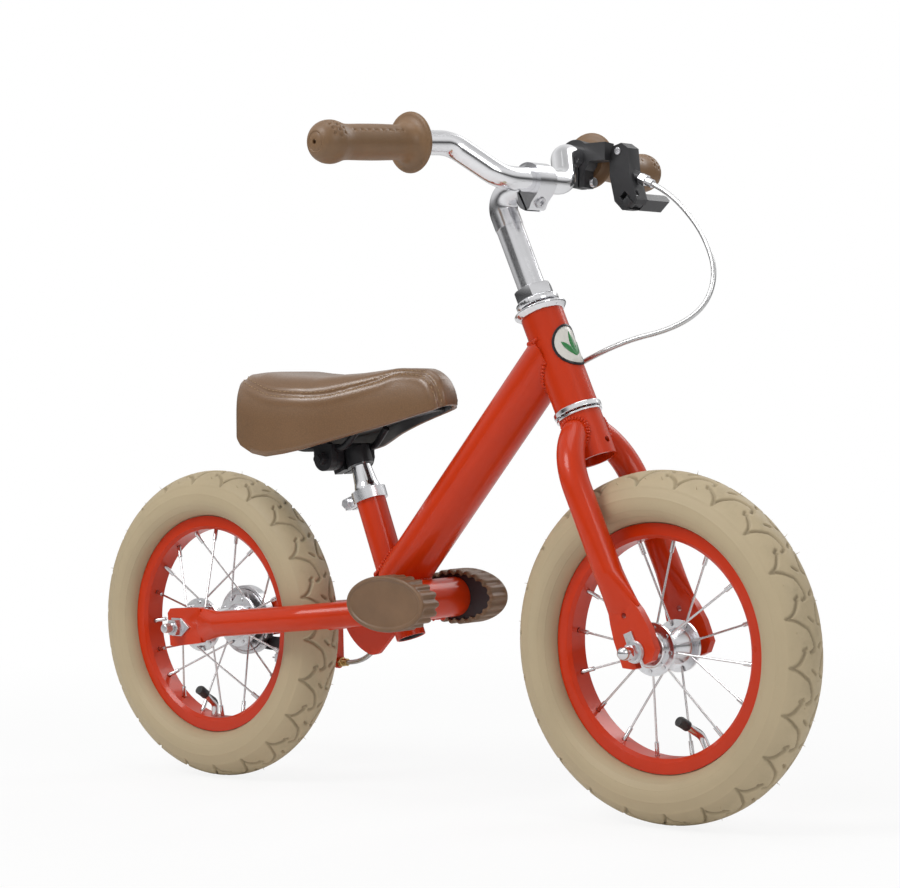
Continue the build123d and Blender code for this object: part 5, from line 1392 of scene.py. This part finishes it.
# ------------------------------------------------------------------ cables
@dataclass
class Cable:
    """The brake's outer cable: a loop from the lever to the main tube, and the run along the frame."""

    radius: float = 2.4
    barrel: Vector = field(default_factory=lambda: Vector((164, 121, 588)))
    barrel_dir: Vector = field(default_factory=lambda: Vector((0.9023, 0, -0.4311)).normalized())
    barrel_exit: float = 22.4
    barrel_straight: float = 46.0
    upper_clip: tuple[float, float, float] = (236, 85, 27)
    lower_clip: tuple[float, float, float] = (74, 80, 26)
    clip_straight: float = 34.0
    loop: tuple = ((238, 113, 542), (262, 103, 516), (279, 91, 486), (275, 79, 456), (251, 62, 437),
                   (207, 42, 427))
    down: tuple = ((-50, 42, 196), (-82, 45, 160), (-106, 49, 134), (-133, 51, 117), (-153, 51, 117))
    wire_r: float = 0.8
    wire_length: float = 102.0
    wire_steps: int = 12
    wire_strands: int = 3
    wire_ridge: float = 0.06
    wire_twist: float = 90.0

    def beside(self, distance: float, turn: float, radius: float) -> Vector:
        """A point beside the main tube: along it, turned from below towards the left, and out."""
        angle = math.radians(turn)
        out = MAIN_DOWN * math.cos(angle) + LEFT * math.sin(angle)
        return MAIN_FOOT + MAIN_DIR * distance + out * radius

    def route(self) -> list[Vector]:
        """The loop's route points, in millimetres."""
        upper = self.beside(*self.upper_clip)
        run = (self.beside(*self.lower_clip) - upper).normalized()
        start = [self.barrel + self.barrel_dir * reach for reach in (self.barrel_exit, self.barrel_straight)]
        return start + [Vector(point) for point in self.loop] + [upper - run * self.clip_straight, upper]

    def frame_route(self) -> list[Vector]:
        """The frame run's route points, in millimetres."""
        return [self.beside(*self.upper_clip), self.beside(*self.lower_clip)] + [Vector(p) for p in self.down]

    def line(self, name: str, points: Sequence[Vector], resolution: int = 14) -> list[Vector]:
        """Points read from the smooth spline that the route points control.

        Args:
            name: A name for the spline's curve.
            points: The route, in millimetres.
            resolution: How many points there are for each span.

        Returns:
            Points along it, in millimetres.
        """
        curve = bpy.data.curves.new(name, "CURVE")
        curve.dimensions = "3D"
        spline = curve.splines.new("NURBS")
        spline.points.add(len(points) - 1)
        for control, point in zip(spline.points, points):
            control.co = (*(point * MM), 1)
        spline.order_u = 3
        spline.use_endpoint_u = True
        curve.resolution_u = resolution
        obj = bpy.data.objects.new(name, curve)
        mesh = bpy.data.meshes.new_from_object(obj)
        found = [vert.co / MM for vert in mesh.vertices]
        bpy.data.objects.remove(obj)
        bpy.data.meshes.remove(mesh)
        return found

    def run(self, name: str, points: Sequence[Vector], body: str, node: str) -> Any:
        """A mesh tube along points."""
        shape = Shape(name)
        shape.sweep(points, lambda share, a: self.radius, 16)
        return shape.done(CABLE_GREY, body, [node], crease=60)

    def declare(self, points: Sequence[Vector]) -> None:
        """Measure a stretch of cable's length, and keep nothing."""
        length = sum((second - first).length for first, second in zip(points, points[1:])) * MM
        2 * self.radius * MM
        [tuple(point * MM) for point in points]

    def build(self) -> None:
        """Build the loop in three lengths left without a body, and the run along the frame."""
        line = self.line("loop_route", self.route())
        third = len(line) // 3
        spans = (("cable_loop_upper", line[:third + 1], "handlebar", "stem"),
                 ("cable_loop_middle", line[third:2 * third + 1], "stem", "fork"),
                 ("cable_loop_lower", line[2 * third:], "fork", "frame"))
        for name, points, first, second in spans:
            piece = self.run(name, points, "", "brake_cable_loop")
            self.declare(points)
            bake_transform(piece)
        down = self.line("frame_route", self.frame_route())
        piece = self.run("cable_on_frame", down, "frame", "brake_cable")
        self.declare(down)
        self.wire(down[-1])

    def wire(self, end: Vector) -> None:
        """The twisted inner wire, bare from the outer cable's end to the brake arm."""
        shape = Shape("inner_wire")
        steps = self.wire_steps
        shape.sweep([end - Vector((self.wire_length * k / steps, 0, 0)) for k in range(steps + 1)],
                    lambda share, a: self.wire_r + self.wire_ridge * math.cos(
                        self.wire_strands * a + share * self.wire_twist), 10)
        shape.done(SPOKE_STEEL, "frame", crease=60)


# ------------------------------------------------------------------ studio
@dataclass
class Studio:
    """The camera, the lamps, the world and the floor."""

    azimuth: float = 40.558
    elevation: float = 0.745
    roll: float = -1.24
    focal: float = 98.764
    eye: Vector = field(default_factory=lambda: Vector((1546.3, -1764.7, 366.7)))
    target: Vector = field(default_factory=lambda: Vector((0, 0, 0.3)))
    fill: float = 0.27
    floor_r: float = 9.0
    floor_z: float = -0.0015
    fade: tuple[float, float] = (0.45, 1.6)
    lamps: tuple = (("key", (-0.6, -2.2, 2.6), 1.3, 50), ("front_fill", (3.0, -0.6, 1.6), 1.2, 17),
                    ("rim_left", (0.4, 2.6, 2.2), 1.4, 20), ("overhead", (0.0, 0.0, 3.4), 2.0, 26))
    mirrored: Outline = ((0.0, 0.75), (0.36, 0.7), (0.44, 0.12), (0.5, 0.03), (0.56, 0.22), (0.62, 0.7),
                         (0.75, 0.85), (1.0, 0.4))

    def camera(self) -> None:
        """Stand the camera where the bike is seen from in front, on its right."""
        azimuth, elevation, roll = (math.radians(a) for a in (self.azimuth, self.elevation, self.roll))
        back = Vector((math.sin(azimuth) * math.cos(elevation), -math.cos(azimuth) * math.cos(elevation),
                       math.sin(elevation)))
        right = Vector((math.cos(azimuth), math.sin(azimuth), 0))
        up = back.cross(right)
        turned_right = right * math.cos(roll) + up * math.sin(roll)
        turned_up = up * math.cos(roll) - right * math.sin(roll)
        data = bpy.data.cameras.new("camera")
        data.sensor_width = 36
        data.lens = self.focal
        data.clip_start = 0.05
        data.clip_end = 60
        camera = link(bpy.data.objects.new("camera", data))
        matrix = Matrix((turned_right, turned_up, back)).transposed().to_4x4()
        matrix.translation = self.eye * MM
        camera.matrix_world = matrix
        bpy.context.scene.camera = camera

    def lamp(self, name: str, where: tuple[float, float, float], size: float, power: float) -> None:
        """Hang one soft square lamp that faces the bike's middle.

        Args:
            name: The lamp.
            where: Its place, in metres.
            size: Its width, in metres.
            power: Its power, in watts.
        """
        data = bpy.data.lights.new(name, "AREA")
        data.shape = "RECTANGLE"
        data.size = data.size_y = size
        data.energy = power
        lamp = link(bpy.data.objects.new(name, data))
        lamp.location = where
        lamp.rotation_mode = "QUATERNION"
        lamp.rotation_quaternion = (self.target - Vector(where)).to_track_quat("-Z", "Y")

    def reflected(self, graph: Graph) -> Wire:
        """The grey that metal shows in each direction: white above and below, dark round the horizon."""
        height = graph.part(graph.add("ShaderNodeTexCoord", {}, {}, "Generated"), "Z")
        share = graph.add("ShaderNodeMapRange", {}, {"Value": height, "From Min": -1.0})
        stops = [(position, (grey,) * 3) for position, grey in self.mirrored]
        return graph.add("ShaderNodeValToRGB", {"stops": stops}, {0: share})

    def world(self) -> None:
        """Fill light from all round, and plain white for what the camera, metal and glass see."""
        world = bpy.data.worlds.new("studio")
        bpy.context.scene.world = world
        graph = Graph(world)
        fill, glossy, white = (
            graph.add("ShaderNodeBackground", {}, {"Color": colour, "Strength": strength})
            for colour, strength in (((*WHITE, 1.0), self.fill), (self.reflected(graph), 1.0),
                                     ((*WHITE, 1.0), 1.0)))
        shiny = graph.blend(graph.ray("Glossy"), fill, glossy)
        seen = graph.ray("Camera").larger(graph.ray("Transmission"))
        graph.finish("ShaderNodeOutputWorld", graph.blend(seen, shiny, white))

    def floor(self) -> None:
        """Lay a pale floor that turns into the white background with distance."""
        bm = bmesh.new()
        bmesh.ops.create_circle(bm, cap_ends=True, radius=self.floor_r, segments=96)
        mesh = bpy.data.meshes.new("floor")
        bm.to_mesh(mesh)
        bm.free()
        obj = link(bpy.data.objects.new("floor", mesh))
        obj.location = (0, 0, self.floor_z)
        graph = Surface("floor")
        distance = graph.add("ShaderNodeVectorMath", {"operation": "LENGTH"}, {0: graph.position()}, "Value")
        paper = graph.mix(graph.noise(40, 2), (0.90, 0.90, 0.90), (0.93, 0.93, 0.93))
        matt = graph.set(Base_Color=paper, Roughness=0.8, Specular_IOR_Level=0.1)
        glow = graph.add("ShaderNodeEmission", {}, {"Color": (*WHITE, 1.0), "Strength": 1.0})
        whitened = (distance.ramp(*self.fade) * 0.13 + 0.87) * graph.ray("Camera")
        mesh.materials.append(graph.done(graph.blend(whitened, matt, glow)))

    def build(self) -> None:
        """Set the whole studio up."""
        self.camera()
        self.world()
        self.floor()
        for lamp in self.lamps:
            self.lamp(*lamp)


# ------------------------------------------------------------------ main
CARRIED = (
    ("frame", FRAME_PAINT, "head_tube main_tube seat_tube footrest_tube right_stay left_stay stay_bridge"),
    ("frame", CHROME, "upper_head_cup lower_head_cup"), ("frame", COLLAR_ALLOY, "seat_collar"),
    ("frame", ZINC, "seat_collar_bolt"), ("frame", BLACK_PLASTIC, "footrest_cores cable_clips"),
    ("frame", BLACK_METAL, "brake_anchor"), ("frame", ZINC, "brake_band"), ("frame", BRASS, "cable_adjuster"),
    ("frame", ZINC, "rear_axle rear_axle_nuts"), ("brake_arm", ZINC, "brake_arm"),
    ("seat_post", CHROME, "seat_post"), ("saddle_clamp", BLACK_METAL, "saddle_clamp"),
    ("saddle", BLACK_METAL, "saddle_rails"), ("saddle", BLACK_PLASTIC, "saddle_base"),
    ("fork", FRAME_PAINT, "fork_steerer fork_legs"), ("fork", CHROME, "crown_race head_cone head_locknut"),
    ("fork", ZINC, "steering_balls front_axle front_axle_nuts"), ("front_wheel", HUB_SILVER, "front_hub"),
    ("front_wheel", SPOKE_STEEL, "front_spokes"), ("front_wheel", RIM_PAINT, "front_rim"),
    ("front_wheel", TUBE_RUBBER, "front_inner_tube"), ("front_wheel", ZINC, "front_hub_balls"),
    ("rear_wheel", HUB_SILVER, "rear_hub"), ("rear_wheel", SPOKE_STEEL, "rear_spokes"),
    ("rear_wheel", RIM_PAINT, "rear_rim"), ("rear_wheel", TUBE_RUBBER, "rear_inner_tube"),
    ("rear_wheel", ZINC, "rear_hub_balls brake_drum"), ("stem", STEM_ALLOY, "stem"),
    ("stem", ZINC, "stem_wedge stem_bolt clamp_bolt"), ("handlebar", BAR_CHROME, "handlebar"),
    ("handlebar", BLACK_PLASTIC, "lever_bracket"), ("handlebar", ZINC, "lever_bolts barrel_adjuster"),
    ("brake_lever", BLACK_PLASTIC, "brake_lever"),
)

SOFTENED = {
    "lever_bracket": (2.6, 4), "brake_lever": (2.2, 4), "stem": (1.1, 3), "fork_legs": (1.6, 4),
    "right_stay": (1.5, 4), "left_stay": (1.5, 4), "saddle_clamp": (1.3, 3), "seat_collar": (0.7, 3),
    "front_axle_nuts": (0.6, 3), "rear_axle_nuts": (0.6, 3), "front_rim": (0.8, 3), "rear_rim": (0.8, 3),
    "head_locknut": (0.8, 3), "upper_head_cup": (0.7, 3), "lower_head_cup": (0.7, 3),
    "brake_anchor": (1.0, 3), "barrel_adjuster": (0.6, 3), "saddle_base": (1.2, 3),
}


def note_size() -> None:
    """Bring the scene's placements up to date."""
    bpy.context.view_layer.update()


def main() -> None:
    """Build the studio and every piece of the bike."""
    logging.basicConfig(level=logging.INFO, format="%(name)s: %(message)s")
    bpy.ops.wm.read_factory_settings(use_empty=True)
    bpy.context.scene.view_settings.view_transform = "Standard"
    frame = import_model()
    Studio().build()
    for wheel, axle_x, rubber in (("front", FRONT_X, FRONT_RUBBER), ("rear", REAR_X, REAR_RUBBER)):
        tyre = Tyre(wheel, axle_x, rubber)
        tyre.build(f"{wheel}_wheel")
        tyre.hairs(f"{wheel}_wheel")
    saddle = Saddle()
    saddle.build()
    saddle.stitches()
    saddle.pan()
    Cable().build()
    for side in Side:
        footrest = Footrest(f"{side.name.lower()}_footrest", side)
        footrest.build()
        footrest.core()
    Grip("right_grip", Side.RIGHT, 84).build()
    Grip("left_grip", Side.LEFT, 78).build()
    Welds().build()
    Badge().build()
    Fittings().build()
    for body, finish, nodes in CARRIED:
        for node in nodes.split():
            Carried(node, body, finish, *SOFTENED.get(node, ())).build(frame)
    note_size()


if __name__ == "__main__":
    main()
